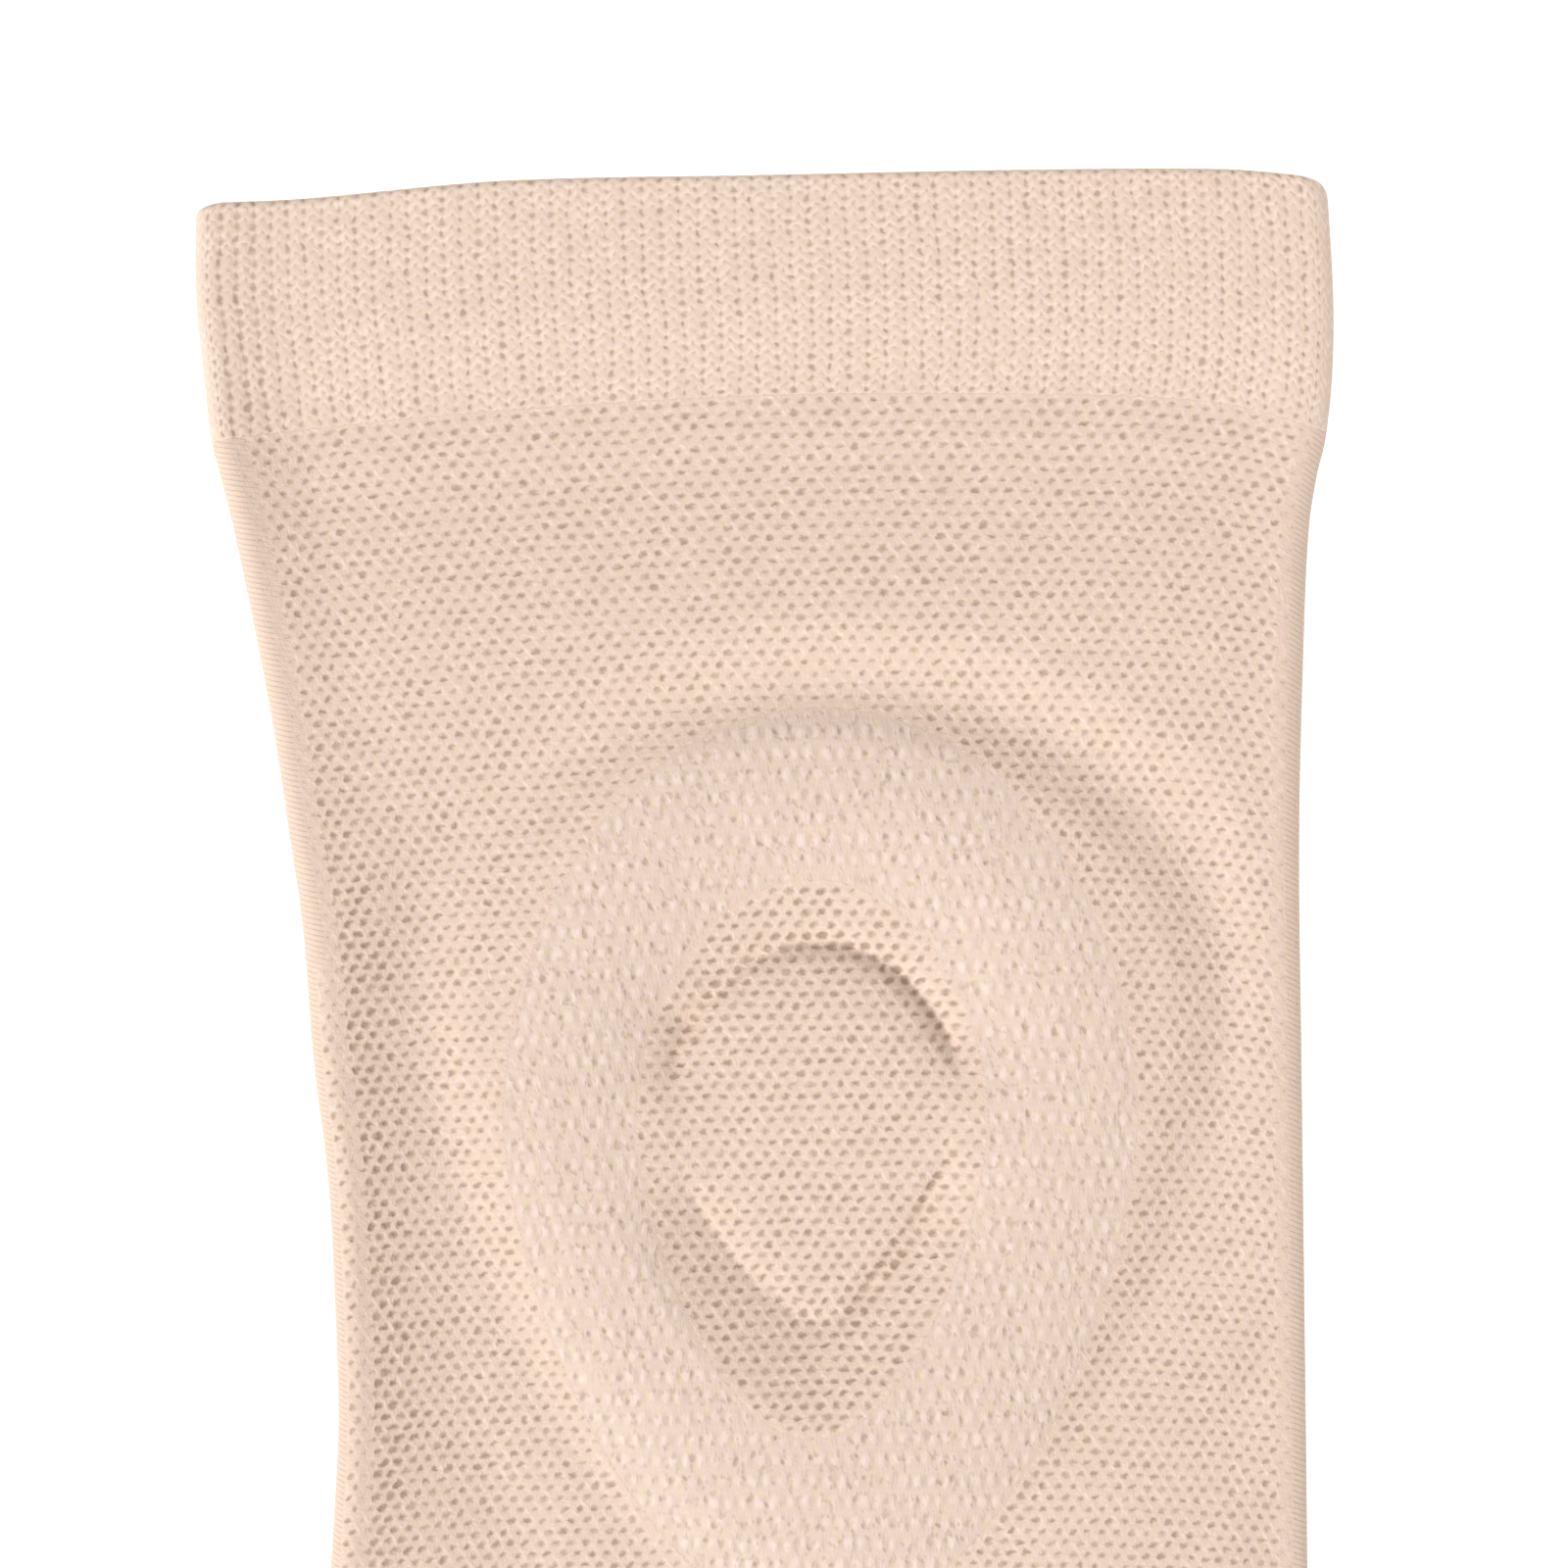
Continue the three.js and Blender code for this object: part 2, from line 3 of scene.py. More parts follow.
import bpy
import numpy as np
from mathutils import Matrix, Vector


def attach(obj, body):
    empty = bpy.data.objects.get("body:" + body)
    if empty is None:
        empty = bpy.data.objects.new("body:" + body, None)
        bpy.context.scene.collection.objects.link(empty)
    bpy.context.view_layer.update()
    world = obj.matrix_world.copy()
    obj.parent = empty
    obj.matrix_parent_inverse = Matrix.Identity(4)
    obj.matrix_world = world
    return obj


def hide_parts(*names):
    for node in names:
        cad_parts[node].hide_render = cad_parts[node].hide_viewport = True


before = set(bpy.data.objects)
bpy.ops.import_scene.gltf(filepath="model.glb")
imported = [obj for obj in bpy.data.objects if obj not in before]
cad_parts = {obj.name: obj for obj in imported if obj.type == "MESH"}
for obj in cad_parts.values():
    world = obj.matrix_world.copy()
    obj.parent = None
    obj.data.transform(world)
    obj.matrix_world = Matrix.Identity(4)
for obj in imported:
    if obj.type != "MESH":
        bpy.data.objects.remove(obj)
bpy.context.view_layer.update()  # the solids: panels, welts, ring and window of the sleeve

bl_info = {
    "name": "Knee compression sleeve",
    "version": (1, 0, 0),
    "blender": (4, 5, 0),
    "location": "View3D > Sidebar > Knee sleeve",
    "description": "Knits the sleeve's mesh body, welts, kneecap ring and window over its solids",
    "category": "Object",
}

MM = 0.001
ROOM_LIGHT = 0.24  # strength of the light from all round
AIM = (0.003, 0.045, 0.0)  # where the lights point, in metres
FLOOR_DROP = 0.0002  # the floor lies this far under the sleeve

# --- The form, in millimetres: +X across the sleeve, +Y towards the thigh, +Z up ---

BODY_LAY = 3.9  # top of the body where it lies flat
WELT_LAY = 5.0  # top of a welt where it lies flat
WELT_WALL = 2.4
CORNERS = (2.2, 3.4)  # radii of a welt's left and right corners at its hem
WELT_TAPER = 16.0  # length over which a welt comes down to the body
PAD_FLOOR = 1.9  # underside of the pad
FLAP_WIDTH = 3.0  # how far the front runs in under each fold
BACK_LIFT = 0.05  # height of the back's one layer above the table
BODY_DRIFT = 0.07  # how far a stitch of the body wanders, in stitches
OPENING_MEAN = 34  # mean radius of the ring's opening
INLAY_MEAN = 55  # mean radius of the ring's outline
GROOVE_FADE = 12  # degrees over which the arc groove fades out at each end


def table(columns, *rows):
    """Named columns of a short table, with its rows sorted by the first one."""
    values = np.array(sorted(rows), dtype=float).T
    return dict(zip(columns.split(), values))


# One row for each section across the flattened tube: an edge, the height of the fold there,
# how far in the fold's round reaches, and how far past that the cloth takes to come down.
LEFT = table(
    "y edge fold depth roll",
    (142.5, -87.0, 6.6, 3.0, 13),
    (124.0, -87.2, 6.8, 3.0, 13),
    (111.5, -86.0, 6.9, 3.0, 13),
    (101.0, -84.8, 7.0, 3.0, 13),
    (95.5, -83.4, 7.1, 3.0, 13),
    (87.5, -81.4, 7.2, 3.0, 13),
    (71.0, -77.9, 7.5, 2.8, 13),
    (56.0, -75.1, 7.7, 2.8, 14),
    (40.0, -72.7, 7.8, 2.8, 17),
    (26.0, -70.7, 7.8, 3.2, 18),
    (6.0, -69.1, 7.8, 3.6, 18),
    (-12.0, -66.9, 7.8, 3.6, 17),
    (-34.0, -65.7, 7.8, 3.6, 17),
    (-49.0, -65.3, 7.8, 3.6, 20),
    (-61.0, -65.8, 7.8, 3.6, 24),
    (-72.0, -66.5, 7.6, 3.6, 28),
    (-90.0, -67.5, 7.2, 3.4, 22),
    (-105.0, -67.8, 6.6, 3.2, 16),
    (-112.0, -67.0, 6.4, 3.0, 13),
    (-142.5, -66.4, 6.2, 3.0, 13),
)
RIGHT = table(
    "y edge fold depth",
    (142.5, 86.2, 5.0, 3.2),
    (124.0, 87.3, 5.0, 3.2),
    (111.5, 87.2, 5.0, 3.4),
    (101.0, 86.1, 5.0, 3.8),
    (95.5, 84.8, 5.1, 4.0),
    (87.5, 83.6, 5.4, 4.2),
    (71.0, 82.8, 5.8, 4.4),
    (40.0, 82.1, 5.6, 4.4),
    (6.0, 82.5, 4.7, 4.2),
    (-34.0, 83.0, 4.3, 4.2),
    (-72.0, 83.4, 4.3, 4.2),
    (-90.0, 83.3, 4.4, 4.0),
    (-105.0, 82.8, 4.8, 3.8),
    (-112.0, 82.0, 5.0, 3.6),
    (-142.5, 81.4, 5.0, 3.6),
)
RIGHT_ROLL = 9
ROLL_START = 0.6  # how gently the left roll starts to come down: 0 is steepest, 2 level

# The lines across the sleeve, one row for each place across it.
LINES = table(
    "x thigh_hem thigh_seam calf_seam calf_hem",
    (-87, 137.0, 100.2, -110.5, -142.7),
    (-70, 138.0, 102.6, -109.6, -142.4),
    (-40, 140.7, 105.5, -108.7, -141.9),
    (0, 141.6, 107.8, -108.3, -141.5),
    (40, 142.4, 108.0, -108.5, -141.8),
    (70, 142.5, 106.6, -109.4, -142.3),
    (87, 141.4, 102.0, -110.5, -142.7),
)

# The ovals of the kneecap pad, widest at y, narrowing by "taper" towards the lower end, with
# a lower end as pointed as "point" says (2 is a plain ellipse).
PAD_BASE = dict(x=9.3, y=12.0, half=63.5, above=51.5, below=97.0, taper=0.22, point=2)
INLAY = dict(x=8.6, y=-4.2, half=48.4, above=64.2, below=75.8, taper=0.15, point=2)
CREST = dict(x=8.5, y=-1.2, half=41.5, above=48.5, below=57.0, taper=0.2, point=2)
OPENING = dict(x=7.3, y=-4.2, half=26.9, above=38.0, below=47.4, taper=0.18, point=2)
SHIELD = dict(x=8.0, y=-4.2, half=23.0, above=28.2, below=30.0, taper=0, point=1.4)

CROWN_RISE = 3.6
CREASE_RISE = -0.2
SIDE_DEPTH = 0.28
BRIM_RISE = 0.55  # share of the pad's rise that its steeper brim takes
BRIM_WIDTH = 11.5
INNER_START = (0.32, 0.08)  # lower half, upper half
INNER_POWER = (1.2, 1.5)
DOME_RISE = (0.8, 2.3)
DOME_POWER = 7

# Soft ridges and troughs: start, end, width and rise of each.
CREASES = [
    ((86, -27), (40, -68), 4.2, 1.1),
    ((86, -42), (48, -80), 4.2, -0.4),
    ((-48, -50), (-30, -82), 6.0, -0.35),
    ((-20, -96), (36, -92), 9.0, 0.6),
]
# Fine grooves of the window: an arc round the top of its shield, from and to in degrees
# anticlockwise from +X, and two lines down the lower right of it.
GROOVE_DEPTH = 0.8
GROOVE_WIDTH = 1.3
ARC_GROOVE = (20, 165)
LINE_GROOVES = [((28.5, -8), (22.5, -20.5)), ((22.5, -20.5), (12.5, -34))]
# Round swells and dimples: x, y, radius and rise of each.
SWELLS = [(-12.4, 12.2, 2.4, -0.6), (28.0, 11.5, 2.4, -0.4), (60.0, -88.0, 30.0, 2.6)]


def read(chart, column, at):
    """Smooth curve through a column, read where the table's first column is "at"."""
    places = next(iter(chart.values()))
    values = chart[column]
    slopes = np.empty(len(places))
    slopes[0] = (values[1] - values[0]) / (places[1] - places[0])
    slopes[-1] = (values[-1] - values[-2]) / (places[-1] - places[-2])
    slopes[1:-1] = (values[2:] - values[:-2]) / (places[2:] - places[:-2])
    at = np.clip(at, places[0], places[-1])
    i = np.clip(np.searchsorted(places, at) - 1, 0, len(places) - 2)
    step = places[i + 1] - places[i]
    share = (at - places[i]) / step
    rise = values[i + 1] - values[i]
    bend_in = (slopes[i] * step - rise) * (1 - share)
    bend_out = (rise - slopes[i + 1] * step) * share
    return values[i] + rise * share + share * (1 - share) * (bend_in + bend_out)


def smooth(share):
    share = np.clip(share, 0, 1)
    return share * share * (3 - 2 * share)


def blend(start, end, share):
    return start + (end - start) * share


def oval_size(oval, x, y):
    """1 on an oval's outline, less inside it and more outside."""
    above = y > oval["y"]
    s = (y - oval["y"]) / np.where(above, oval["above"], oval["below"])
    narrowing = np.maximum(0.4, 1 + oval["taper"] * np.minimum(0, s))
    power = np.where(above, 2.0, oval["point"])
    across = np.abs(x - oval["x"]) / (oval["half"] * narrowing)
    return (across**power + np.abs(s) ** power) ** (1 / power)


def pad_rise(x, y):
    """How far the pad lifts the front: up to its crest, and down again into the crease."""
    in_base = 1 - oval_size(PAD_BASE, x, y)
    in_crest = 1 - oval_size(CREST, x, y)
    shield = oval_size(SHIELD, x, y)
    outside = np.maximum(-in_crest, 0)
    up_slope = in_base / np.maximum(in_base + outside, 1e-6)
    brim = smooth(in_base * PAD_BASE["half"] / BRIM_WIDTH)
    slope = CROWN_RISE * blend(smooth(up_slope), brim, BRIM_RISE)

    reach = np.where(y > SHIELD["y"], SHIELD["above"], SHIELD["below"])
    upright = np.abs(y - SHIELD["y"]) / reach / np.maximum(shield, 1e-6)
    depth = blend(SIDE_DEPTH, 1, smooth((upright - 0.05) / 0.5))
    foot = blend(CROWN_RISE, CREASE_RISE, depth)
    up = smooth((y + 30) / 60)
    start = blend(*INNER_START, up)
    from_crest = np.maximum(in_crest, 0) * CREST["half"] / SHIELD["half"]
    share = from_crest / np.maximum(from_crest + shield - 1, 1e-6)
    fall = np.clip((share - start) / (1 - start), 0, 1) ** blend(*INNER_POWER, up)
    inside = blend(CROWN_RISE, foot, fall)
    dome = blend(*DOME_RISE, smooth((y + 34) / 50))
    middle = blend(dome, foot, np.clip(shield, 0, 1) ** DOME_POWER)

    rise = np.where(in_crest <= 0, slope, np.where(shield >= 1, inside, middle))
    return np.where(in_base <= 0, 0.0, rise)


def along_line(x, y, start, end, width):
    """1 on a line between two points, falling off beside it and past its ends."""
    run = (end[0] - start[0], end[1] - start[1])
    length = math.hypot(*run)
    along = ((x - start[0]) * run[0] + (y - start[1]) * run[1]) / length**2
    off = ((x - start[0]) * run[1] - (y - start[1]) * run[0]) / length
    return np.exp(-((2 * along - 1) ** 4)) * np.exp(-((off / width) ** 2))


def groove_and_shade(x, y):
    """1 in the bottom of the fine grooves of the window, 0 away from them: it sinks the grooves,
    and through more open holes paints the shade in them.
    """
    around = np.degrees(np.arctan2(y - SHIELD["y"], x - SHIELD["x"]))
    off_shield = (oval_size(SHIELD, x, y) - 1) * SHIELD["half"]
    start, end = ARC_GROOVE
    window = smooth((around - start) / GROOVE_FADE) * smooth((end - around) / GROOVE_FADE)
    depth = 0.7 * window * np.exp(-((off_shield / GROOVE_WIDTH) ** 2))
    for start, end in LINE_GROOVES:
        depth = depth + along_line(x, y, start, end, GROOVE_WIDTH)
    return np.minimum(depth, 1)


def body_top(x, y):
    """Top of the front where it lies: pad, hump, beads along the welts, creases and swells."""
    thigh = read(LINES, "thigh_seam", x)
    calf = read(LINES, "calf_seam", x)
    from_pad = (oval_size(PAD_BASE, x, y) - 1) * PAD_BASE["half"]
    hump = 2.0 * smooth(from_pad / 14) * smooth((thigh - 4 - y) / 32) * smooth((y + 25) / 65)
    bead = np.exp(-(((thigh - 6 - y) / 3.2) ** 2)) + np.exp(-(((y - calf - 6) / 3.2) ** 2))
    height = BODY_LAY + pad_rise(x, y) + hump + 0.22 * bead
    for start, end, width, rise in CREASES:
        height = height + rise * along_line(x, y, start, end, width)
    for sx, sy, radius, rise in SWELLS:
        height = height + rise * np.exp(-((x - sx) ** 2 + (y - sy) ** 2) / radius**2)
    return height - GROOVE_DEPTH * groove_and_shade(x, y)


def with_folds(x, y, lying):
    """The lying height, brought up or down to the top of each fold near it."""
    from_left = x - read(LEFT, "edge", y) - read(LEFT, "depth", y)
    from_right = read(RIGHT, "edge", y) - read(RIGHT, "depth", y) - x
    past = np.clip(from_left / read(LEFT, "roll", y), 0, 1)
    left = (1 - past) ** 2 * (1 + ROLL_START * past)
    right = 1 - smooth(from_right / RIGHT_ROLL)
    rolled = blend(lying, read(LEFT, "fold", y), left)
    return blend(rolled, read(RIGHT, "fold", y), right)


# --- Places on the knit: u counts stitches across from the middle, v rows up from a seam ---

HALF_WALES = 31  # stitches from the middle of the tube's top to the top of either fold
FOLD_WALES = 6  # stitches round a fold and over the flap or underside next to it
BODY_ROWS = 124
ROW = 1.76  # height of a row of the welts
WELT_SHADE_WALES = 4  # columns beside a welt's left fold that are drawn more open, as painted shade on the fold's inner slope
LEFT_SHADE_WALES = 5  # stitches beside the left fold that are drawn more open, as painted shade on the fold's inner slope
WIDER_MIDDLE = 0.045  # how much wider the middle stitches lie than the mean


def wander(u, v, amount):
    """Slow drift of stitches out of true, smooth and the same each time."""
    across = np.sin(0.83 * u + 0.31 * v) + np.sin(0.37 * u - 0.69 * v + 1.3)
    across = across + 0.8 * np.sin(1.71 * u + 1.13 * v + 4.1)
    along = np.sin(0.59 * u + 0.47 * v + 2.0) + np.sin(-0.97 * u + 0.23 * v + 0.4)
    return amount * across / 2.8, amount * along / 2


def rows_between(low, high):
    """Function that gives y at a share of the way between two of the lines, at some x."""
    def line(x, share):
        return blend(read(LINES, low, x), read(LINES, high, x), share)
    return line


def fold_ends(line, share):
    """Both edges where the rows at these shares meet them, with their folds."""
    ends = []
    for chart in (LEFT, RIGHT):
        x = read(chart, "edge", line(np.zeros_like(share), share))
        for _ in range(5):
            x = read(chart, "edge", line(x, share))
        y = line(x, share)
        ends.append((x, read(chart, "fold", y) / 2, read(chart, "depth", y)))
    return ends


def on_tube(u, v_share, line, top, inset=0.0, under=None):
    """Points in millimetres at stitches u, over the top, round the folds and under them."""
    (left, left_half, left_depth), (right, right_half, right_depth) = fold_ends(line, v_share)
    start, end = left + left_depth, right - right_depth
    middle, half = (start + end) / 2, (end - start) / 2
    t = np.clip(u / HALF_WALES, -1, 1)
    x = middle + half * t * (1 + WIDER_MIDDLE - WIDER_MIDDLE * t * t)
    z = with_folds(x, line(x, v_share), top(x, line(x, v_share))) - inset
    for side, edge, rise, depth in (
        (-1, left, left_half, left_depth),
        (1, right, right_half, right_depth),
    ):
        past = np.clip((side * u - HALF_WALES) / FOLD_WALES, 0, 1)
        round_length = math.pi * (depth + rise) / 2
        flat_length = FLAP_WIDTH if under is None else under
        way = past * (round_length + flat_length)
        turn = math.pi / 2 - math.pi * np.clip(way / round_length, 0, 1)
        flat = np.maximum(way - round_length, 0)
        fold_x = edge - side * (depth - (depth - inset) * np.cos(turn) + flat)
        fold_z = rise + (rise - inset) * np.sin(turn)
        on_fold = side * u > HALF_WALES
        x = np.where(on_fold, fold_x, x)
        z = np.where(on_fold, fold_z, z)
    return np.stack([x, line(x, v_share), z], axis=-1)


def in_cell(u, v, staggered):
    """Place across and along within its stitch, from -0.5 to 0.5, and the stitch's number."""
    row = np.floor(v)
    shifted = u + (0.5 * np.mod(row, 2) if staggered else 0.0)
    column = np.floor(shifted)
    return shifted - column - 0.5, v - row - 0.5, column, row


def uneven(column, row):
    """A different number from 0 to 1 for each stitch, the same each time."""
    mixed = np.sin(column * 12.9898 + row * 78.233) * 43758.5453
    return mixed - np.floor(mixed)


LEAN = 0.35  # how far a hole of the mesh leans over, rows to a stitch


def mesh_relief(u, v, openness):
    """Height in millimetres of the mesh knit: a hole in each cell of a net of yarn."""
    across, along, column, row = in_cell(u, v, True)
    hole = smooth(1.25 - np.hypot(across / 0.26, (along - LEAN * across) / 0.32))
    net = 1 - np.clip(np.abs(1 - np.abs(along) - 2 * np.abs(across)) / 0.5, 0, 1)
    return openness * (0.08 * net - hole * (0.1 + 0.1 * uneven(column, row)))


def welt_relief(u, v, openness):
    """Height of the welt knit: upright columns of holes with a shallow rib between."""
    across, along, column, row = in_cell(u, v, False)
    hole = smooth(1.2 - np.hypot(across / 0.23, along / 0.38))
    rib = smooth(2 * np.abs(across)) * 0.05
    return openness * (rib - hole * (0.14 + 0.1 * uneven(column, row)))


def inlay_relief(u, v, openness):
    """Height of the inlay knit: short upright hollows laid like bricks, low lumps between."""
    across, along, column, row = in_cell(u, v, True)
    hollow = smooth(1.3 - np.hypot(across / 0.22, along / 0.3))
    lump = smooth(1.2 - np.hypot((0.5 - np.abs(across)) / 0.3, along / 0.45))
    return openness * (0.04 * lump - hollow * (0.03 + 0.05 * uneven(column, row)))


# --- Meshes ---


def grid_normals(points):
    """Outward normals of a grid of points whose columns run across and rows run up."""
    across = np.gradient(points, axis=1)
    along = np.gradient(points, axis=0)
    normals = np.cross(across, along)
    return normals / np.maximum(np.linalg.norm(normals, axis=-1, keepdims=True), 1e-9)


def add_sheet(name, points, stitches, openness, keep=None):
    """Grid primitive given these points (rows, columns, 3), stitch UVs and openness."""
    rows, columns = points.shape[:2]
    bpy.ops.object.select_all(action="DESELECT")
    bpy.ops.mesh.primitive_grid_add(
        x_subdivisions=columns - 1, y_subdivisions=rows - 1, size=1, calc_uvs=True
    )
    piece = bpy.context.object
    piece.name = piece.data.name = name
    mesh = piece.data
    mesh.vertices.foreach_set("co", (points * MM).reshape(-1))
    corners = np.empty(len(mesh.loops), dtype=np.int32)
    mesh.loops.foreach_get("vertex_index", corners)
    layer = mesh.uv_layers[0]
    layer.name = "stitches"
    layer.data.foreach_set("uv", stitches.reshape(-1, 2)[corners].reshape(-1))
    attribute = mesh.attributes.new("openness", "FLOAT", "POINT")
    attribute.data.foreach_set("value", np.broadcast_to(openness, (rows, columns)).reshape(-1))
    if keep is not None:
        drop_faces(piece, keep)
    mesh.update()
    mesh.shade_smooth()
    return piece


def drop_faces(piece, keep):
    """Deletes the grid's faces that keep (rows - 1, columns - 1) leaves out."""
    mesh = piece.data
    wanted = keep.reshape(-1)
    mesh.polygons.foreach_set("select", ~wanted)
    bpy.ops.object.mode_set(mode="EDIT")
    bpy.ops.mesh.select_mode(type="FACE")
    bpy.ops.object.mode_set(mode="OBJECT")
    mesh.polygons.foreach_set("select", ~wanted)
    bpy.ops.object.mode_set(mode="EDIT")
    bpy.ops.mesh.delete(type="FACE")
    bpy.ops.object.mode_set(mode="OBJECT")


def face_middles(values):
    """Mean of each grid face's four corners."""
    return (values[:-1, :-1] + values[1:, :-1] + values[:-1, 1:] + values[1:, 1:]) / 4


def touched(keep):
    """Grid points that a kept face touches, and those that a dropped one touches."""
    def spread(faces):
        points = np.zeros((faces.shape[0] + 1, faces.shape[1] + 1), dtype=bool)
        for dy in (0, 1):
            for dx in (0, 1):
                points[dy : faces.shape[0] + dy, dx : faces.shape[1] + dx] |= faces
        return points
    return spread(keep), spread(~keep)


def drawn_to(oval, points, edge):
    """Moves the edge points of a cut onto an oval, straight out from its middle."""
    size = np.maximum(oval_size(oval, points[..., 0], points[..., 1]), 1e-6)
    moved = points.copy()
    for axis, centre in ((0, oval["x"]), (1, oval["y"])):
        moved[..., axis] = centre + (points[..., axis] - centre) / size
    return np.where(edge[..., None], moved, points)


BODY_LINE = rows_between("calf_seam", "thigh_seam")


def body_place(u, v):
    """x and y of the body's stitches on its top, with their drift."""
    du, dv = wander(u, v, BODY_DRIFT)
    return on_tube(u + du, np.clip((v + dv) / BODY_ROWS, 0, 1), BODY_LINE, body_top)


def near_ring(x, y):
    """Openness of the mesh knit: none against the ring, more than usual to the right of it as
    painted shade of the pad's slope turned from the light, less on its lit left and inside the
    window as painted light, and more in the window's grooves as painted shade.
    """
    outside = (oval_size(INLAY, x, y) - 1) * INLAY_MEAN
    inside = (1 - oval_size(OPENING, x, y)) * OPENING_MEAN
    away = np.maximum(outside, inside)
    # painted shade on the ring's right, where the pad turns from the light; painted light on its
    # lit left and inside the window
    side = np.where(outside > inside, smooth((x - 15) / 25) - 0.5, -0.2)
    side_shade = 0.22 * side * smooth(away / 2) * (1 - smooth((away - 3) / 5))
    return smooth(0.3 + away / 1.6) * (1 + side_shade + 0.45 * groove_and_shade(x, y))


def by_folds(u, y):
    """Share of the openness left near and on the folds: a last column of holes on each."""
    left_last = 0.8 * (1 - smooth((y - 8) / 20))
    left = np.select([u > -29.8, u > -31, u > -32], [1.0, 0.35, left_last], 0.0)
    right = np.select([u < 31, u < 32], [1.0, 0.45], 0.0)
    return np.minimum(left, right)


def make_front():
    """The front: its top round the ring, both folds, and a flap in under each fold."""
    u = np.arange(-HALF_WALES, HALF_WALES + 0.01, 0.25)
    fold = np.arange(0.5, FOLD_WALES + 0.01, 0.5)
    u = np.concatenate([-HALF_WALES - fold[::-1], u, HALF_WALES + fold])
    v = np.concatenate([[0], np.arange(1 / 6, BODY_ROWS, 1 / 3), [BODY_ROWS]])
    u, v = np.meshgrid(u, v)
    du, dv = wander(u, v, BODY_DRIFT)
    calm = smooth((HALF_WALES - np.abs(u)) / 2) * smooth(v / 3) * smooth((BODY_ROWS - v) / 3)
    points = on_tube(u + du * calm, (v + dv * calm) / BODY_ROWS, BODY_LINE, body_top)
    size = oval_size(INLAY, points[..., 0], points[..., 1])
    on_top = np.abs(u) < HALF_WALES
    keep = ~((face_middles(size) < 1) & face_middles(on_top.astype(float)).astype(bool))
    kept, dropped = touched(keep)
    points = drawn_to(INLAY, points, kept & dropped)
    x, y = points[..., 0], points[..., 1]
    points[..., 2] = np.where(on_top, with_folds(x, y, body_top(x, y)), points[..., 2])
    # painted shade: holes drawn more open beside the left fold, lower down, and a little over the
    # left half, where the cloth turns from the light
    low = smooth((80 - y) / 60)
    beside_fold = smooth((LEFT_SHADE_WALES - HALF_WALES - u) / 2.5)
    left_shade = 1 + low * (0.3 * beside_fold + 0.1 * smooth(-u / 30))
    openness = near_ring(x, y) * by_folds(u, y) * left_shade
    openness = openness * smooth(0.6 + (BODY_ROWS - v) / 1.5)
    edge_calm = smooth((HALF_WALES + 1.5 - np.abs(u)) / 2.5)
    relief = mesh_relief(u, v, openness) * edge_calm
    points = points + grid_normals(points) * relief[..., None]
    return add_sheet("front_knit", points, np.stack([u, v], axis=-1), openness, keep)


def make_back():
    """The back: the flat layer on the table, between the flaps."""
    share = np.linspace(0, 1, BODY_ROWS // 2 + 1)
    (left, _, left_depth), (right, _, right_depth) = fold_ends(BODY_LINE, share)
    start, end = left + left_depth + FLAP_WIDTH, right - right_depth - FLAP_WIDTH
    across = np.linspace(1, 0, 61)
    x = blend(start[:, None], end[:, None], across[None, :])
    y = BODY_LINE(x, np.broadcast_to(share[:, None], x.shape))
    points = np.stack([x, y, np.full_like(x, BACK_LIFT)], axis=-1)
    u = np.broadcast_to(HALF_WALES * (1 - 2 * across), x.shape)
    v = np.broadcast_to(share[:, None] * BODY_ROWS, x.shape)
    return add_sheet("back_knit", points, np.stack([u, v], axis=-1), 1.0)


def make_window():
    """The window inside the ring: one layer of mesh knit."""
    u = np.arange(-14, 17.01, 0.25)
    v = np.arange(29 + 1 / 6, 90, 1 / 3)
    u, v = np.meshgrid(u, v)
    points = body_place(u, v)
    size = oval_size(OPENING, points[..., 0], points[..., 1])
    keep = face_middles(size) < 1
    kept, dropped = touched(keep)
    points = drawn_to(OPENING, points, kept & dropped)
    x, y = points[..., 0], points[..., 1]
    points[..., 2] = with_folds(x, y, body_top(x, y))
    # painted shade: holes drawn more open towards the window's top and bottom, where its dark
    # crescents of shade lie
    ends = smooth(np.abs(y - OPENING["y"]) / OPENING_MEAN)
    openness = near_ring(x, y) * (1.08 + 0.12 * ends)
    points = points + grid_normals(points) * mesh_relief(u, v, openness)[..., None]
    return add_sheet("window_knit", points, np.stack([u, v], axis=-1), openness, keep)


RING_ACROSS = 1.04  # ring stitches to one of the body's, across
RING_ALONG = 0.535  # and along


def make_ring():
    """The ring: its inlay knit over the pad, closed underneath."""
    u = np.arange(-30, 33.01, 0.25) / RING_ACROSS
    v = np.arange(8.5, 56, 1 / 6) / RING_ALONG
    u, v = np.meshgrid(u, v)
    points = body_place(u, v)
    x, y = points[..., 0], points[..., 1]
    outer, inner = oval_size(INLAY, x, y), oval_size(OPENING, x, y)
    keep = (face_middles(outer) < 1) & (face_middles(inner) > 1)
    kept, dropped = touched(keep)
    edge = kept & dropped
    points = drawn_to(INLAY, points, edge & (np.abs(outer - 1) < np.abs(inner - 1)))
    points = drawn_to(OPENING, points, edge & (np.abs(outer - 1) >= np.abs(inner - 1)))
    x, y = points[..., 0], points[..., 1]
    points[..., 2] = with_folds(x, y, body_top(x, y))
    from_outside = (1 - oval_size(INLAY, x, y)) * INLAY_MEAN
    from_opening = (oval_size(OPENING, x, y) - 1) * OPENING_MEAN
    rim = np.minimum(from_outside, from_opening)
    openness = smooth(0.25 + rim / 1.6)
    ring_u, ring_v = u * RING_ACROSS, v * RING_ALONG
    points = points + grid_normals(points) * inlay_relief(ring_u, ring_v, openness)[..., None]
    piece = add_sheet(
        "ring_knit", points, np.stack([ring_u, ring_v], axis=-1), openness, keep
    )
    close_under(piece)
    return piece


